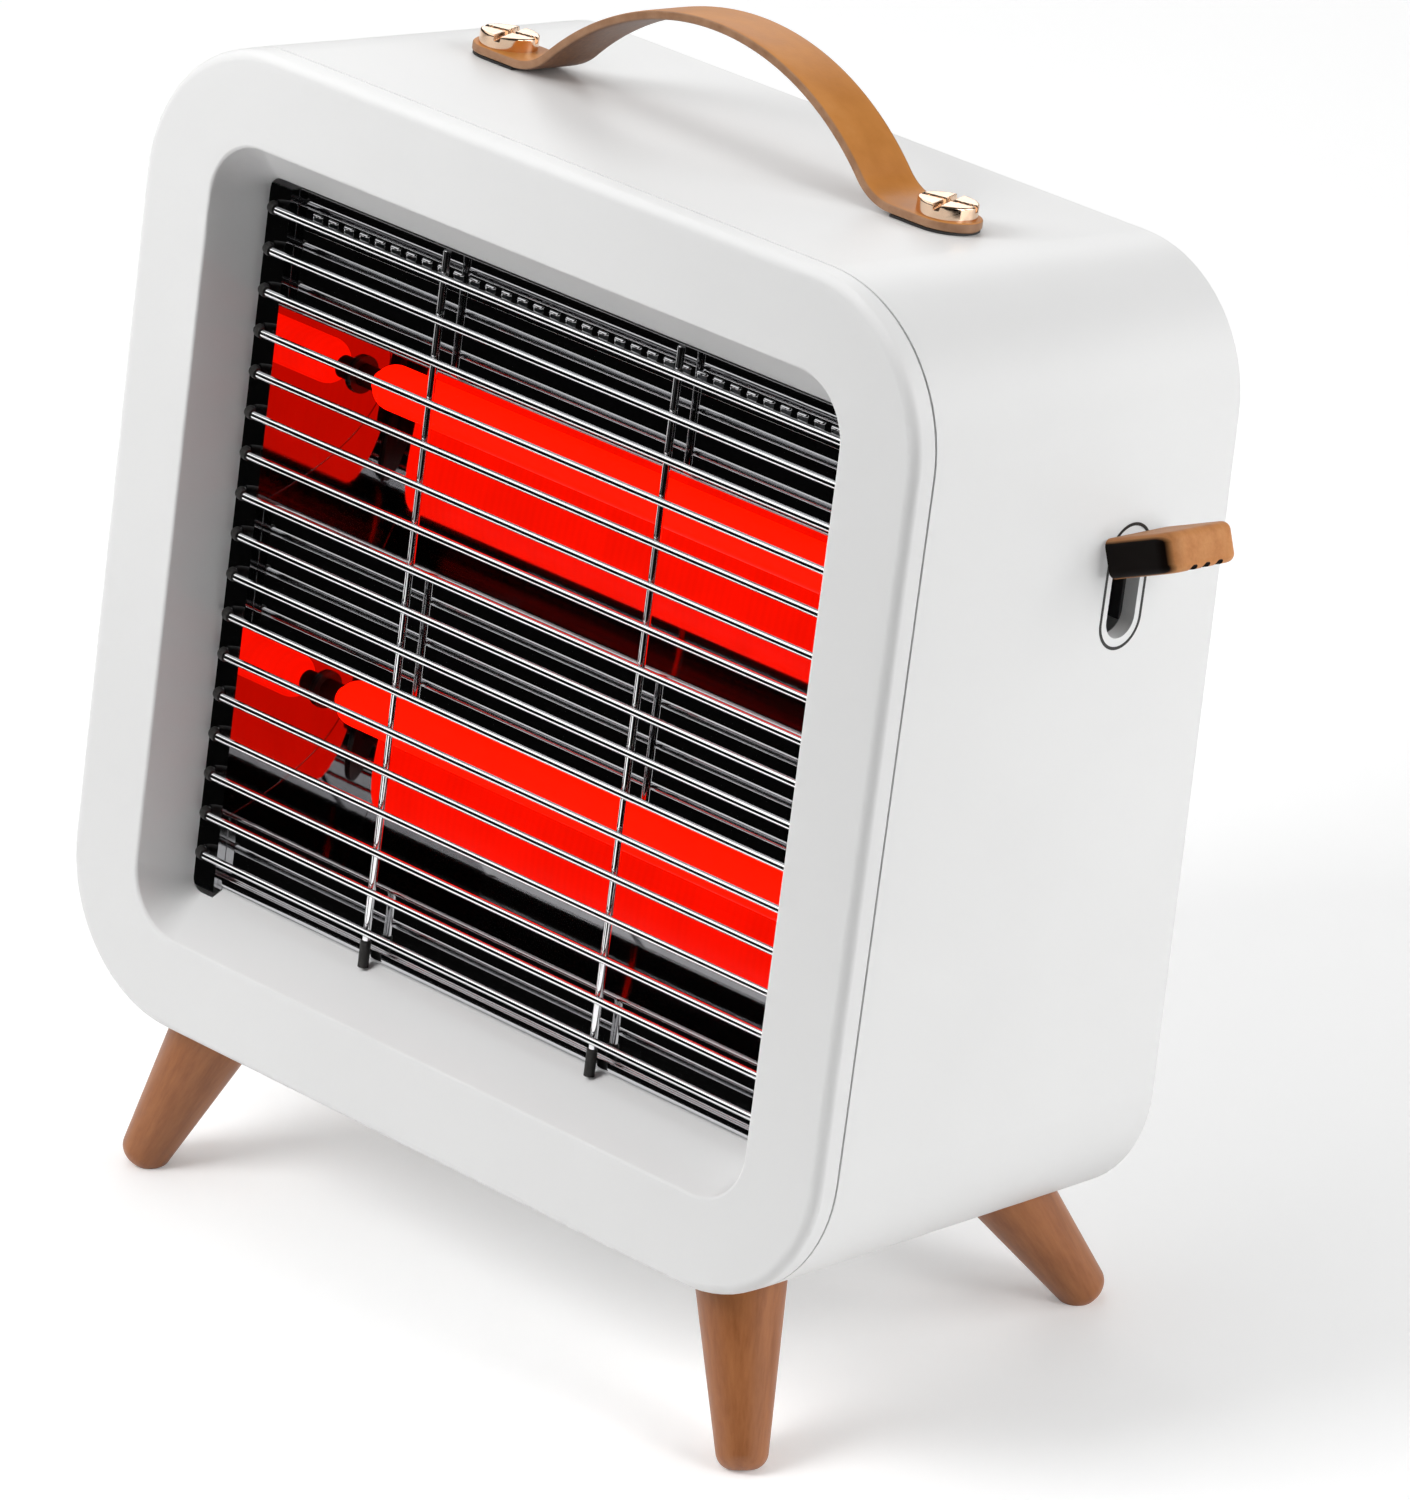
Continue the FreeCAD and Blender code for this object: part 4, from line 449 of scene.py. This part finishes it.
def glass_braid():
    f = Finish("glass_braid", (0.75, 0.73, 0.68), Roughness=0.7)
    waves = []
    for turn in (35.0, -35.0):
        inputs = {"Vector": f.stretched((1.0, 1.0, 1.0), (turn, 0.0, 0.0)), "Scale": 420.0}
        waves.append(f.add("ShaderNodeTexWave", inputs, bands_direction="Z").outputs["Fac"])
    weave = f.math("MULTIPLY", *waves)
    f.feed("Base Color", f.ramp(weave, (0.1, (0.5, 0.48, 0.43)), (0.8, (0.8, 0.78, 0.73))))
    f.bump(weave, 0.4, 0.0002)
    return f.material


FINISHES["steatite"] = ceramic()
FINISHES["glass_braid"] = glass_braid()
print("ceramic and braid made")

# %% [markdown]
# ## Red-hot quartz
# In the photograph both tubes glow an even, full red. Real ones hold a wound wire in a clear tube, and so
# do these: the core carries the winding as a fine wave. A lamp could light them from inside, but an even
# red comes from emission alone. The glass glows only along its wide part, so the finish looks at X, and
# the thin stubs in the collars stay dark.

# %% Glowing quartz
GLOW = (1.0, 0.0045, 0.0)
GLOW_STRENGTH = 2.0
GLOW_REACH = 0.0918


def glowing(name, winding):
    f = Finish(name, (0.05, 0.004, 0.003), Roughness=0.5, Specular_IOR_Level=0.05)
    x = f.add("ShaderNodeSeparateXYZ", {0: f.place}).outputs["X"]
    lit = f.math("LESS_THAN", f.math("ABSOLUTE", x), GLOW_REACH)
    turns = f.math("SINE", f.math("MULTIPLY", x, winding))
    shade = f.ramp(f.math("ADD", f.math("MULTIPLY", turns, 0.1), f.noise(90.0, 2.0)),
                   (0.2, tuple(0.9 * v for v in GLOW)), (0.6, GLOW))
    f.feed("Emission Color", f.mix(lit, (0.0, 0.0, 0.0, 1.0), shade))
    f.set("Emission Strength", GLOW_STRENGTH)
    f.bump(turns, 0.02, 0.00005)
    return f.material


FINISHES["glowing_quartz"] = glowing("glowing_quartz", 2600.0)
FINISHES["glowing_core"] = glowing("glowing_core", 5200.0)
print("glow made, strength", GLOW_STRENGTH)

# %% [markdown]
# ## Dressing the CAD nodes
# The record says which slot each node takes its finish from. Materials could be set one by one, but a loop
# makes sure that no node is forgotten. Red tubes and brown lever are kept out of diffuse light, so that
# they do not stain the white plastic beside them. The bezel is kept out of mirrors, so that wires and sheet
# mirror the dark room instead of their white frame. The folded edges of the end plates get a small bevel
# that catches the light.

# %% Dress the nodes
FOLD_WIDTH, FOLD_STEPS = 0.0003, 3
NO_BLEED = ("glowing", "wood_lever")
node_slots = {part["node"]: part["material_slot"] for part in frame["record"]["subparts"]}
for name, obj in frame["nodes"].items():
    obj.data.materials.clear()
    obj.data.materials.append(FINISHES[node_slots[name]])
    obj.visible_diffuse = not node_slots[name].startswith(NO_BLEED)
frame["nodes"]["front_bezel"].visible_glossy = False
for name in ("reflector_end_plate_left", "reflector_end_plate_right"):
    folded = frame["nodes"][name].modifiers.new("folded_edge", "BEVEL")
    folded.width, folded.segments, folded.limit_method = FOLD_WIDTH, FOLD_STEPS, "ANGLE"
print("dressed", len(node_slots), "nodes in", len(set(node_slots.values())), "finishes")

# %% [markdown]
# ## The guard wires
# Seventeen cross wires run over the mouth, and each turns back into the case at both ends. On a chromed
# wire the eye follows thin, unbroken lines of light, which a coarse mesh would break up. A bevelled curve
# would do, but here a circle is carried along the wire's path: tail, quarter turn, span, quarter turn and
# tail.

# %% Cross wires
WIRE_RADIUS = 1.0
GUARD_PLANE, GUARD_BEND, GUARD_TAIL = 14.25, 3.0, 22.0
GUARD_REACH = 103.8
GUARD_TOP, GUARD_PITCH, GUARD_COUNT = 86.5, 10.8375, 17
ROUND, TURN_POINTS, SPAN_POINTS = 28, 9, 5


def swept_wire(path, side, up, radius, columns=ROUND):
    """Circle points: path + radius * (cos a * side + sin a * up), closed to a point at both ends."""
    a = np.linspace(0, 2 * np.pi, columns, endpoint=False)[None, :, None]
    ring = path[:, None, :] + radius * (np.cos(a) * side[:, None, :] + np.sin(a) * up)
    ends = [np.repeat(path[i][None, None, :], columns, axis=1) for i in (0, -1)]
    return np.concatenate([ends[0], ring, ends[1]])


def guard_path():
    """Half the wire as (x, y): span, then x = straight + bend sin t, y = plane + bend (1 - cos t)."""
    t = np.linspace(0, np.pi / 2, TURN_POINTS)
    straight = GUARD_REACH - GUARD_BEND
    along = np.linspace(0, straight, SPAN_POINTS, endpoint=False)
    span = np.stack([along, np.full(SPAN_POINTS, GUARD_PLANE)], -1)
    turn = np.stack([straight + GUARD_BEND * np.sin(t), GUARD_PLANE + GUARD_BEND * (1 - np.cos(t))], -1)
    half = np.vstack([span, turn, [[GUARD_REACH, GUARD_TAIL]]])
    level = np.tile([1.0, 0.0], (SPAN_POINTS, 1))
    heading = np.vstack([level, np.stack([np.cos(t), np.sin(t)], -1), [[0.0, 1.0]]])
    whole = np.vstack([half[:0:-1] * [-1, 1], half])
    ahead = np.vstack([heading[:0:-1] * [1, -1], heading])
    return whole, ahead


flat_path, flat_heading = guard_path()
path = np.column_stack([flat_path, np.zeros(len(flat_path))])
side = np.column_stack([-flat_heading[:, 1], flat_heading[:, 0], np.zeros(len(flat_path))])
upwards = np.array([0.0, 0.0, 1.0])
one_wire = swept_wire(path, side, upwards, WIRE_RADIUS)
levels = GUARD_TOP - GUARD_PITCH * np.arange(GUARD_COUNT)
wires = one_wire[None] + upwards * levels[:, None, None, None]
quads = copied_quads(grid_quads(*one_wire.shape[:2], wrap_columns=True), one_wire, GUARD_COUNT)
add_piece("guard_wires", from_case(wires), quads, "chrome_wire", ["guard_cross_wires"])

# %% [markdown]
# ## The two uprights
# Two straight wires stand behind the cross wires and are welded to them. Cylinders would have flat ends;
# these are circles along a vertical line, with ends rounded off by letting the radius fall to nothing.

# %% Uprights
UPRIGHT_X = 41.15
UPRIGHT_DEPTH = 16.27
UPRIGHT_LOW, UPRIGHT_HIGH = -97.0, 93.3
NOSE, NOSE_POINTS = 0.5, 6


def upright(x):
    """Circle of radius r(z) about the line at x; r falls as sqrt(1 - t^2) over the nose at each end."""
    t = np.linspace(0, 1, NOSE_POINTS)
    z = np.concatenate([UPRIGHT_LOW + NOSE * (1 - t[::-1]), UPRIGHT_HIGH - NOSE * (1 - t)])
    r = np.concatenate([np.sqrt(1 - t[::-1] ** 2), np.sqrt(1 - t ** 2)]) * WIRE_RADIUS
    a = np.linspace(0, 2 * np.pi, ROUND, endpoint=False)
    return np.stack([x + r[:, None] * np.cos(a), UPRIGHT_DEPTH + r[:, None] * np.sin(a),
                     np.repeat(z[:, None], ROUND, axis=1)], -1)


pair = np.stack([upright(-UPRIGHT_X), upright(UPRIGHT_X)])
quads = copied_quads(grid_quads(*pair.shape[1:3], wrap_columns=True), pair[0], len(pair))
add_piece("guard_uprights", from_case(pair), quads, "chrome_wire", ["guard_upright_wires"])

# %% [markdown]
# ## The reflector
# One polished sheet is bent into two troughs. Each has a flat upper side and a parabola below its tube, so
# the tube's red fills the lower half and the upper half mirrors the dark room. The solid is made of flats,
# and a mirror shows every flat as a band. A Bevel modifier could round the folds, but an outline drawn with
# many close points, its folds eased by averaging neighbours, also smooths the parabola. The sheet gets its
# thickness from a Solidify modifier.

# %% Reflector outline
TROUGH_FRONT, TUBE_DEPTH = 20.0, 49.2
TROUGH_ABOVE, TROUGH_BELOW, TROUGH_BACK = 21.0, 29.8, 8.0
TROUGH_AIM = math.radians(11.4)
TUBE_LEVELS = (39.2738, -46.224)
PLATE_TOP, BAND_FOOT, PLATE_BOTTOM = 92.0, 82.0, -97.0
HEM_FRONT, HEM_LOW, HEM_HIGH = 18.4, -95.4, -92.4
FOLD_RADIUS, OUTLINE_STEP, CURVE_POINTS = 0.7, 0.35, 90


def trough(level):
    """Flat side, then tube + (w^2 / 4f - f) along the aim and w across it, from -back to the lower edge."""
    ahead = TUBE_DEPTH - TROUGH_FRONT
    c, s = math.cos(TROUGH_AIM), math.sin(TROUGH_AIM)
    along, across = ahead * c - TROUGH_BELOW * s, ahead * s + TROUGH_BELOW * c
    focus = (math.hypot(along, across) - along) / 2
    w = np.linspace(-TROUGH_BACK, across, CURVE_POINTS)
    reach = w ** 2 / (4 * focus) - focus
    curve = np.stack([TUBE_DEPTH - reach * c - w * s, level + reach * s - w * c], -1)
    return np.vstack([[[TROUGH_FRONT, level + TROUGH_ABOVE]], curve])


def eased(corners, step, window):
    """The outline at even steps along its length, each point the mean of its neighbours, ends kept."""
    gone = np.concatenate([[0], np.cumsum(np.hypot(*np.diff(corners, axis=0).T))])
    at = np.linspace(0, gone[-1], int(gone[-1] / step))
    even = np.stack([np.interp(at, gone, corners[:, i]) for i in (0, 1)], -1)
    reach = int(window / step)
    padded = np.vstack([np.repeat(even[:1], reach, 0), even, np.repeat(even[-1:], reach, 0)])
    mean = np.stack([np.convolve(padded[:, i], np.full(2 * reach + 1, 1 / (2 * reach + 1)), "valid")
                     for i in (0, 1)], -1)
    mean[0], mean[-1] = even[0], even[-1]
    return mean


outline = np.vstack([[[TROUGH_FRONT, BAND_FOOT]], *(trough(level) for level in TUBE_LEVELS),
                     [[TROUGH_FRONT, HEM_HIGH], [HEM_FRONT, HEM_HIGH], [HEM_FRONT, HEM_LOW],
                      [TROUGH_FRONT, HEM_LOW], [TROUGH_FRONT, PLATE_BOTTOM]]])
smooth_outline = eased(outline, OUTLINE_STEP, FOLD_RADIUS)
print("reflector outline:", len(smooth_outline), "points")

# %% [markdown]
# ## The slotted band and the sheet
# Along the top runs a row of small air slots. Each was lanced, so a thin lip stands out above it and
# catches the light as a pale dash. Booleans would leave ragged faces; the band is a grid whose lines follow
# the slots, the cells inside a slot are left out, and the line above each slot is pushed forward. Extra
# lines close to every edge hold the mirror flat up to it.

# %% Reflector sheet
SHEET_REACH = 98.5
HOLD = 0.1
SHEET_ENDS = np.array([-SHEET_REACH, HOLD - SHEET_REACH, SHEET_REACH - HOLD, SHEET_REACH])
SLOT_PITCH, SLOT_COUNT, SLOT_LENGTH = 5.7, 33, 3.4
SLOT_LEVEL, SLOT_HEIGHT = 86.0, 1.4
LIP, LIP_EASE, LIP_ROUND = 0.7, 0.35, 0.7
SHEET_THICK = 0.6


def slotted_band():
    """Grid over (x, z) at the sheet's front; lip points lie up to LIP ahead, cells in slots are dropped."""
    centres = SLOT_PITCH * (np.arange(SLOT_COUNT) - (SLOT_COUNT - 1) / 2)
    lines = [centres + side * (SLOT_LENGTH / 2 + move) for side in (-1, 1) for move in (-LIP_EASE, 0, HOLD)]
    x = np.sort(np.concatenate([SHEET_ENDS] + lines))
    low, high = SLOT_LEVEL - SLOT_HEIGHT / 2, SLOT_LEVEL + SLOT_HEIGHT / 2
    above = [PLATE_TOP, PLATE_TOP - HOLD, high + LIP + HOLD, high + LIP, high + LIP / 2]
    z = np.array(above + [high, low, low - HOLD, BAND_FOOT + HOLD, BAND_FOOT])
    slot_row = len(above)
    inside = np.abs(x[:, None] - centres[None]).min(axis=1) < (SLOT_LENGTH - LIP_EASE) / 2
    push = np.zeros((len(z), len(x)))
    push[slot_row - 1, inside] = LIP * LIP_ROUND
    push[slot_row, inside] = LIP
    points = np.stack(np.broadcast_arrays(x, TROUGH_FRONT - push, z[:, None]), -1)
    quads = grid_quads(*push.shape).reshape(len(z) - 1, len(x) - 1, 4)
    middles = (x[1:] + x[:-1]) / 2
    open_cell = np.abs(middles[:, None] - centres[None]).min(axis=1) < SLOT_LENGTH / 2
    keep = np.ones(quads.shape[:2], bool)
    keep[slot_row, open_cell] = False
    return points, quads[keep]


band_points, band_quads = slotted_band()
depth, level = smooth_outline.T
sheet = np.stack(np.broadcast_arrays(SHEET_ENDS, depth[:, None], level[:, None]), -1)
band_points = band_points.reshape(-1, 3)
points = np.vstack([band_points, sheet.reshape(-1, 3)])
quads = np.vstack([band_quads, grid_quads(*sheet.shape[:2]) + len(band_points)])
reflector = add_piece("reflector_sheet", from_case(points), quads[:, ::-1], "polished_sheet", ["reflector"],
                      solid=False)
thick = reflector.modifiers.new("thickness", "SOLIDIFY")
thick.thickness = SHEET_THICK * MILLIMETRE
thick.offset = -1.0

# %% [markdown]
# ## The carrying strap
# The strap lies flat under its two screws and arches between them. A curve with a bevel profile could
# follow it, but the ends are round in plan, so the width changes along the strap. Here a flat superellipse
# is carried along the middle line: foot, soft bend, wide arch, soft bend, foot. Its width follows a half
# circle at each end. Each point also keeps how near it is to the edge and which side it is on, for the
# leather.

# %% Strap
STRAP_HALF, STRAP_THICK, STRAP_PAD = 9.0, 2.5, 0.6
STRAP_HOLE, STRAP_FOOT, STRAP_RISE, STRAP_BEND = 76.5, 66.0, 27.6, 16.0
ARCH_POINTS, BEND_POINTS, FOOT_POINTS, STRAP_ROUND = 60, 24, 40, 56
SQUARENESS, TIP_SQUARED = 0.28, 1e-6
EDGE_START, EDGE_BLEND, EDGE_LIFT = 0.93, 0.05, 0.47
FLESH_BELOW = -0.02


def strap_line():
    """The middle line as (x, z, slope): from the crown an arch R sin t, then a bend, then a flat foot."""
    turn = 2 * math.atan2(STRAP_RISE, STRAP_FOOT)
    wide = STRAP_FOOT / math.sin(turn) - STRAP_BEND
    base = STRAP_PAD + STRAP_THICK / 2
    t = np.linspace(0, turn, ARCH_POINTS)
    arch = np.stack([wide * np.sin(t), base + STRAP_RISE - wide * (1 - np.cos(t)), -t], -1)
    b = np.linspace(turn, 0, BEND_POINTS)[1:]
    bend = np.stack([STRAP_FOOT - STRAP_BEND * np.sin(b), base + STRAP_BEND * (1 - np.cos(b)), -b], -1)
    end = STRAP_HOLE + STRAP_HALF
    x = STRAP_FOOT + (end - STRAP_FOOT) * np.sin(np.linspace(0, np.pi / 2, FOOT_POINTS)[1:])
    foot = np.stack([x, np.full(len(x), base), np.zeros(len(x))], -1)
    half = np.vstack([arch, bend, foot])
    return np.vstack([half[:0:-1] * [-1, 1, -1], half])


def strap_rings(line):
    """Rings along the line: half width * cos^p a across it, half thickness * sin^p a along its normal."""
    over = np.clip(np.abs(line[:, 0]) - STRAP_HOLE, 0, STRAP_HALF)
    half_width = np.sqrt(np.clip(STRAP_HALF ** 2 - over ** 2, TIP_SQUARED, None))
    a = np.linspace(0, 2 * np.pi, STRAP_ROUND, endpoint=False)
    across = np.sign(np.cos(a)) * np.abs(np.cos(a)) ** SQUARENESS
    lift = np.sign(np.sin(a)) * np.abs(np.sin(a)) ** SQUARENESS * STRAP_THICK / 2
    wide = half_width[:, None] * across[None]
    normal = np.stack([-np.sin(line[:, 2]), np.cos(line[:, 2])], -1)
    points = np.stack([line[:, :1] + normal[:, :1] * lift, wide, line[:, 1:2] + normal[:, 1:] * lift], -1)
    near_edge = np.clip((np.abs(across) - EDGE_START) / EDGE_BLEND, 0, 1)
    edge = np.broadcast_to(near_edge * (np.abs(lift) < STRAP_THICK * EDGE_LIFT), wide.shape)
    flesh = np.broadcast_to((np.sin(a) < FLESH_BELOW).astype(float), wide.shape)
    return points, {"edge": edge, "flesh": flesh}


strap, strap_values = strap_rings(strap_line())
add_piece("strap", from_top(strap), grid_quads(*strap.shape[:2], wrap_columns=True), "tan_leather",
          ["carrying_strap"], strap_values, sharp=60.0)

# %% [markdown]
# ## The strap screws
# Each screw has a broad, low head with two wide slots that cross and run out through its rim, so that four
# petals are left. A boolean would cut them with hard edges. A height field over rings keeps them soft: the
# top falls by the slot's depth where a point is nearer to either slot's middle than its half width, with a
# smooth step between. The same rings then go down the side and along the shank.

# %% Strap screws
HEAD_RADIUS, HEAD_HEIGHT = 7.6, 3.5
SLOT_HALF, SLOT_DEPTH = 0.9, 1.6
SHANK_RADIUS, SHANK_LOW = 2.0, -6.7
SCREW_TURN = math.radians(20.0)
RIM, SLOT_EASE = 0.55, 0.12
SCREW_ROUND, TOP_RINGS, SIDE_RINGS, RIM_RINGS = 240, 30, 6, 6


def screw(x):
    """Rings (r, z) over the angle a; z sinks where |r cos a| or |r sin a| is under half a slot's width."""
    a = np.linspace(0, 2 * np.pi, SCREW_ROUND, endpoint=False)
    bottom = STRAP_PAD + STRAP_THICK
    turn = np.linspace(0, np.pi / 2, RIM_RINGS + 1)[1:]
    flat = HEAD_RADIUS - RIM
    r_top = np.concatenate([np.linspace(0, flat, TOP_RINGS), flat + RIM * np.sin(turn)])
    z_top = np.concatenate([np.full(TOP_RINGS, HEAD_HEIGHT), HEAD_HEIGHT - RIM + RIM * np.cos(turn)])
    r_side = np.full(SIDE_RINGS, HEAD_RADIUS)
    z_side = np.linspace(HEAD_HEIGHT - RIM, 0, SIDE_RINGS + 1)[1:]
    r_shank = np.array([SHANK_RADIUS, SHANK_RADIUS, 0.0])
    z_shank = np.array([0.0, SHANK_LOW - bottom, SHANK_LOW - bottom])
    r = np.concatenate([r_top, r_side, r_shank])[:, None]
    z = np.concatenate([z_top, z_side, z_shank])[:, None]
    near = np.minimum(np.abs(r * np.cos(a)), np.abs(r * np.sin(a)))
    step = np.clip((SLOT_HALF + SLOT_EASE - near) / (2 * SLOT_EASE), 0, 1)
    sunk = SLOT_DEPTH * step ** 2 * (3 - 2 * step)
    floor = HEAD_HEIGHT - SLOT_DEPTH
    height = np.where(z > floor, np.maximum(np.minimum(z, HEAD_HEIGHT - sunk), floor), z + 0 * a)
    return np.stack([x + r * np.cos(a + SCREW_TURN), r * np.sin(a + SCREW_TURN), bottom + height], -1)


pair = np.stack([screw(-STRAP_HOLE), screw(STRAP_HOLE)])
quads = copied_quads(grid_quads(*pair.shape[1:3], wrap_columns=True), pair[0], len(pair))
add_piece("strap_screw_pair", from_top(pair), quads, "brass_screw", ["strap_screws"], sharp=40.0)

# %% [markdown]
# ## The gasket of the lever's slot
# A thin black line runs round the slot plate where it is let into the side wall. A bevelled curve could
# draw it; here a small T-shaped profile goes round a stadium, a straight run up each side and a half circle
# at each end. Its stem fills the gap round the plate, and its flange laps a hair over the drafted wall.

# %% Slot gasket
PLATE_WIDTH, PLATE_HEIGHT, PLATE_GAP = 14.4, 31.4, 0.4
LEVER_DEPTH, LEVER_LEVEL = 85.2, 50.5
LAP, PROUD, SEAT, STEM = 0.2, 0.06, 0.02, 1.4
GASKET_POINTS = 96


def stadium(radius):
    """Points at a distance radius from the middle line: y = r cos a, z = r sin a + or - the half run."""
    run = (PLATE_HEIGHT - PLATE_WIDTH) / 2
    a = np.linspace(-np.pi, np.pi, GASKET_POINTS, endpoint=False) + np.pi / GASKET_POINTS
    return np.stack([radius * np.cos(a), radius * np.sin(a) + run * np.sign(np.sin(a))], -1)


def gasket_rings():
    """One stadium for each profile point (offset from the plate, depth under the drafted wall)."""
    inner, outer, far = SEAT, PLATE_GAP - SEAT, PLATE_GAP + LAP
    profile = np.array([(-LAP, -PROUD), (far, -PROUD), (far, SEAT), (outer, SEAT), (outer, STEM),
                        (inner, STEM), (inner, SEAT), (-LAP, SEAT)])
    offset, sunk = profile.T[..., None]
    ring = stadium(PLATE_WIDTH / 2 + offset) + [LEVER_DEPTH, LEVER_LEVEL]
    wall = HALF_WIDTH - math.tan(DRAFT) * (ring[..., :1] - BEZEL_DEPTH)
    return np.concatenate([wall - sunk[..., None], ring], axis=-1)


gasket = gasket_rings()
add_piece("lever_slot_gasket", from_case(gasket), grid_quads(*gasket.shape[:2], True, True), "dark_rubber")

# %% [markdown]
# ## The floor
# The heater stands on a white floor. A curved sweep could close the room behind it, but the camera looks
# down and sees the floor alone, so one flat square is enough. It is stage, not part of the heater.

# %% Floor
FLOOR_LIFT, FLOOR_HALF = 0.2, 4.0


def stage_surface(name, points, material):
    """A grid of points as a mesh that belongs to the stage."""
    mesh = bpy.data.meshes.new(name)
    mesh.from_pydata(points.reshape(-1, 3).tolist(), [], grid_quads(*points.shape[:2]).tolist())
    obj = bpy.data.objects.new(name, mesh)
    scene.collection.objects.link(obj)
    mesh.materials.append(material)
    return obj


def floor_finish():
    """Matt white that shines a little, but only for the camera and in mirrors."""
    f = Finish("studio_floor", (0.93, 0.93, 0.93), Roughness=0.9, Specular_IOR_Level=0.0)
    f.feed("Base Color", f.ramp(f.noise(3.0, 2.0), (0.3, 0.925), (0.7, 0.935)))
    seen = f.add("ShaderNodeLightPath")
    mirrors = f.math("MAXIMUM", seen.outputs["Is Glossy Ray"], seen.outputs["Is Transmission Ray"])
    looked_at = f.math("MAXIMUM", seen.outputs["Is Camera Ray"], mirrors)
    f.feed("Emission Strength", f.math("MULTIPLY", looked_at, FLOOR_LIFT))
    f.set("Emission Color", (1.0, 1.0, 1.0, 1.0))
    return f.material


corners = np.array([[[-1, -1, 0], [1, -1, 0]], [[-1, 1, 0], [1, 1, 0]]], float) * FLOOR_HALF
stage_surface("floor", corners, floor_finish())
print("floor in place")

# %% [markdown]
# ## Black cards
# Chrome and polished sheet only look like metal when they have something dark to mirror. The whole room
# could be darkened, but then the plastic would turn grey. So black cards stand and lie in front, where
# camera and lamps pass through them, and the metal shows black between its highlights. The standing ones
# also hold back soft light, which keeps the mouth deep. A gap between the cards lets the uprights mirror
# the white floor. The cards are stage too.

# %% Cards
card_black = Finish("black_card", (0.004, 0.004, 0.004), Roughness=1.0, Specular_IOR_Level=0.0).material
CARD_RADIUS, CARD_LOW, CARD_TOP = 0.5, 0.001, 0.46
LEFT_BEARINGS, RIGHT_BEARINGS = (-145, -112), (-80, 5)
APRON_LEFT, APRON_RIGHT = 0.4, 0.36
CARD_POINTS = 40
PATCH = np.array([[[-0.43, -0.41], [-0.09, -0.41]], [[-0.37, -0.28], [-0.07, -0.28]]])


def card(name, points, *hidden):
    """A black surface that camera and lamps pass through, and so do the other kinds of hidden rays."""
    obj = stage_surface(name, points, card_black)
    for kind in ("camera", "shadow", "transmission") + hidden:
        setattr(obj, "visible_" + kind, False)


def curved(start, end, *rows):
    """Rows of points (r cos t, r sin t, z) round the front, from one bearing to another."""
    t = np.radians(np.linspace(start, end, CARD_POINTS))
    return np.stack([np.stack(np.broadcast_arrays(r * np.cos(t), r * np.sin(t), z), -1) for r, z in rows])


foot = (CARD_RADIUS, CARD_LOW)
hands = ("left", LEFT_BEARINGS, APRON_LEFT), ("right", RIGHT_BEARINGS, APRON_RIGHT)
for hand, bearings, apron in hands:
    card(hand + "_standing_card", curved(*bearings, foot, (CARD_RADIUS, CARD_TOP)))
    card(hand + "_floor_card", curved(*bearings, (apron, CARD_LOW), foot), "diffuse")
level_patch = np.concatenate([PATCH, np.full_like(PATCH[..., :1], CARD_LOW)], axis=-1)
card("near_floor_card", level_patch, "diffuse")
print("cards in place")

# %% [markdown]
# ## Light
# Area lights stand for the softboxes. An image of a studio could light the scene instead, but a few panels
# can be set one by one. Each is aimed with a quaternion that turns its -Z axis to its target. The one
# overhead draws the white lines on the wires; the one at the front left is hidden from mirrors, where it
# would show as a streak. Their strengths were set so that white plastic shows its own colour: top
# brightest, right side a little less, front least.

# %% Lights
def softbox(name, place, target, size, power):
    """A rectangular area light at a place, its -Z axis turned to the target."""
    lamp = bpy.data.lights.new(name, "AREA")
    lamp.shape = "RECTANGLE"
    lamp.size, lamp.size_y = size
    lamp.energy = power
    obj = bpy.data.objects.new(name, lamp)
    scene.collection.objects.link(obj)
    aim = (Vector(target) - Vector(place)).to_track_quat("-Z", "Y")
    obj.matrix_world = Matrix.Translation(place) @ aim.to_matrix().to_4x4()
    return obj


ROOM_LIGHT = 0.04
# the place, target, size and power of each lamp
LIGHTS = {
    "overhead": ((-0.75, -0.15, 1.5), (-0.2, 0.0, 0.1), (2.0, 1.6), 13.5),
    "right_back": ((1.3, 1.3, 0.8), (0.0, 0.0, 0.2), (1.0, 1.2), 12.0),
    "right_panel": ((1.7, 0.3, 0.9), (0.0, 0.0, 0.2), (0.6, 1.2), 14.5),
    "front_left": ((-0.45, -0.9, 0.95), (0.0, 0.0, 0.2), (0.6, 0.6), 10.5),
    "left_back": ((-1.0, 1.25, 0.8), (0.0, 0.0, 0.25), (1.0, 0.9), 4.5),
}
for name, settings in LIGHTS.items():
    softbox(name, *settings).visible_glossy = name != "front_left"
world = bpy.data.worlds.new("studio")
world.use_nodes = True
background = world.node_tree.nodes["Background"].inputs
background["Color"].default_value = (1.0, 1.0, 1.0, 1.0)
background["Strength"].default_value = ROOM_LIGHT
scene.world = world
scene.view_settings.view_transform = "Standard"
print("lights:", ", ".join(LIGHTS))
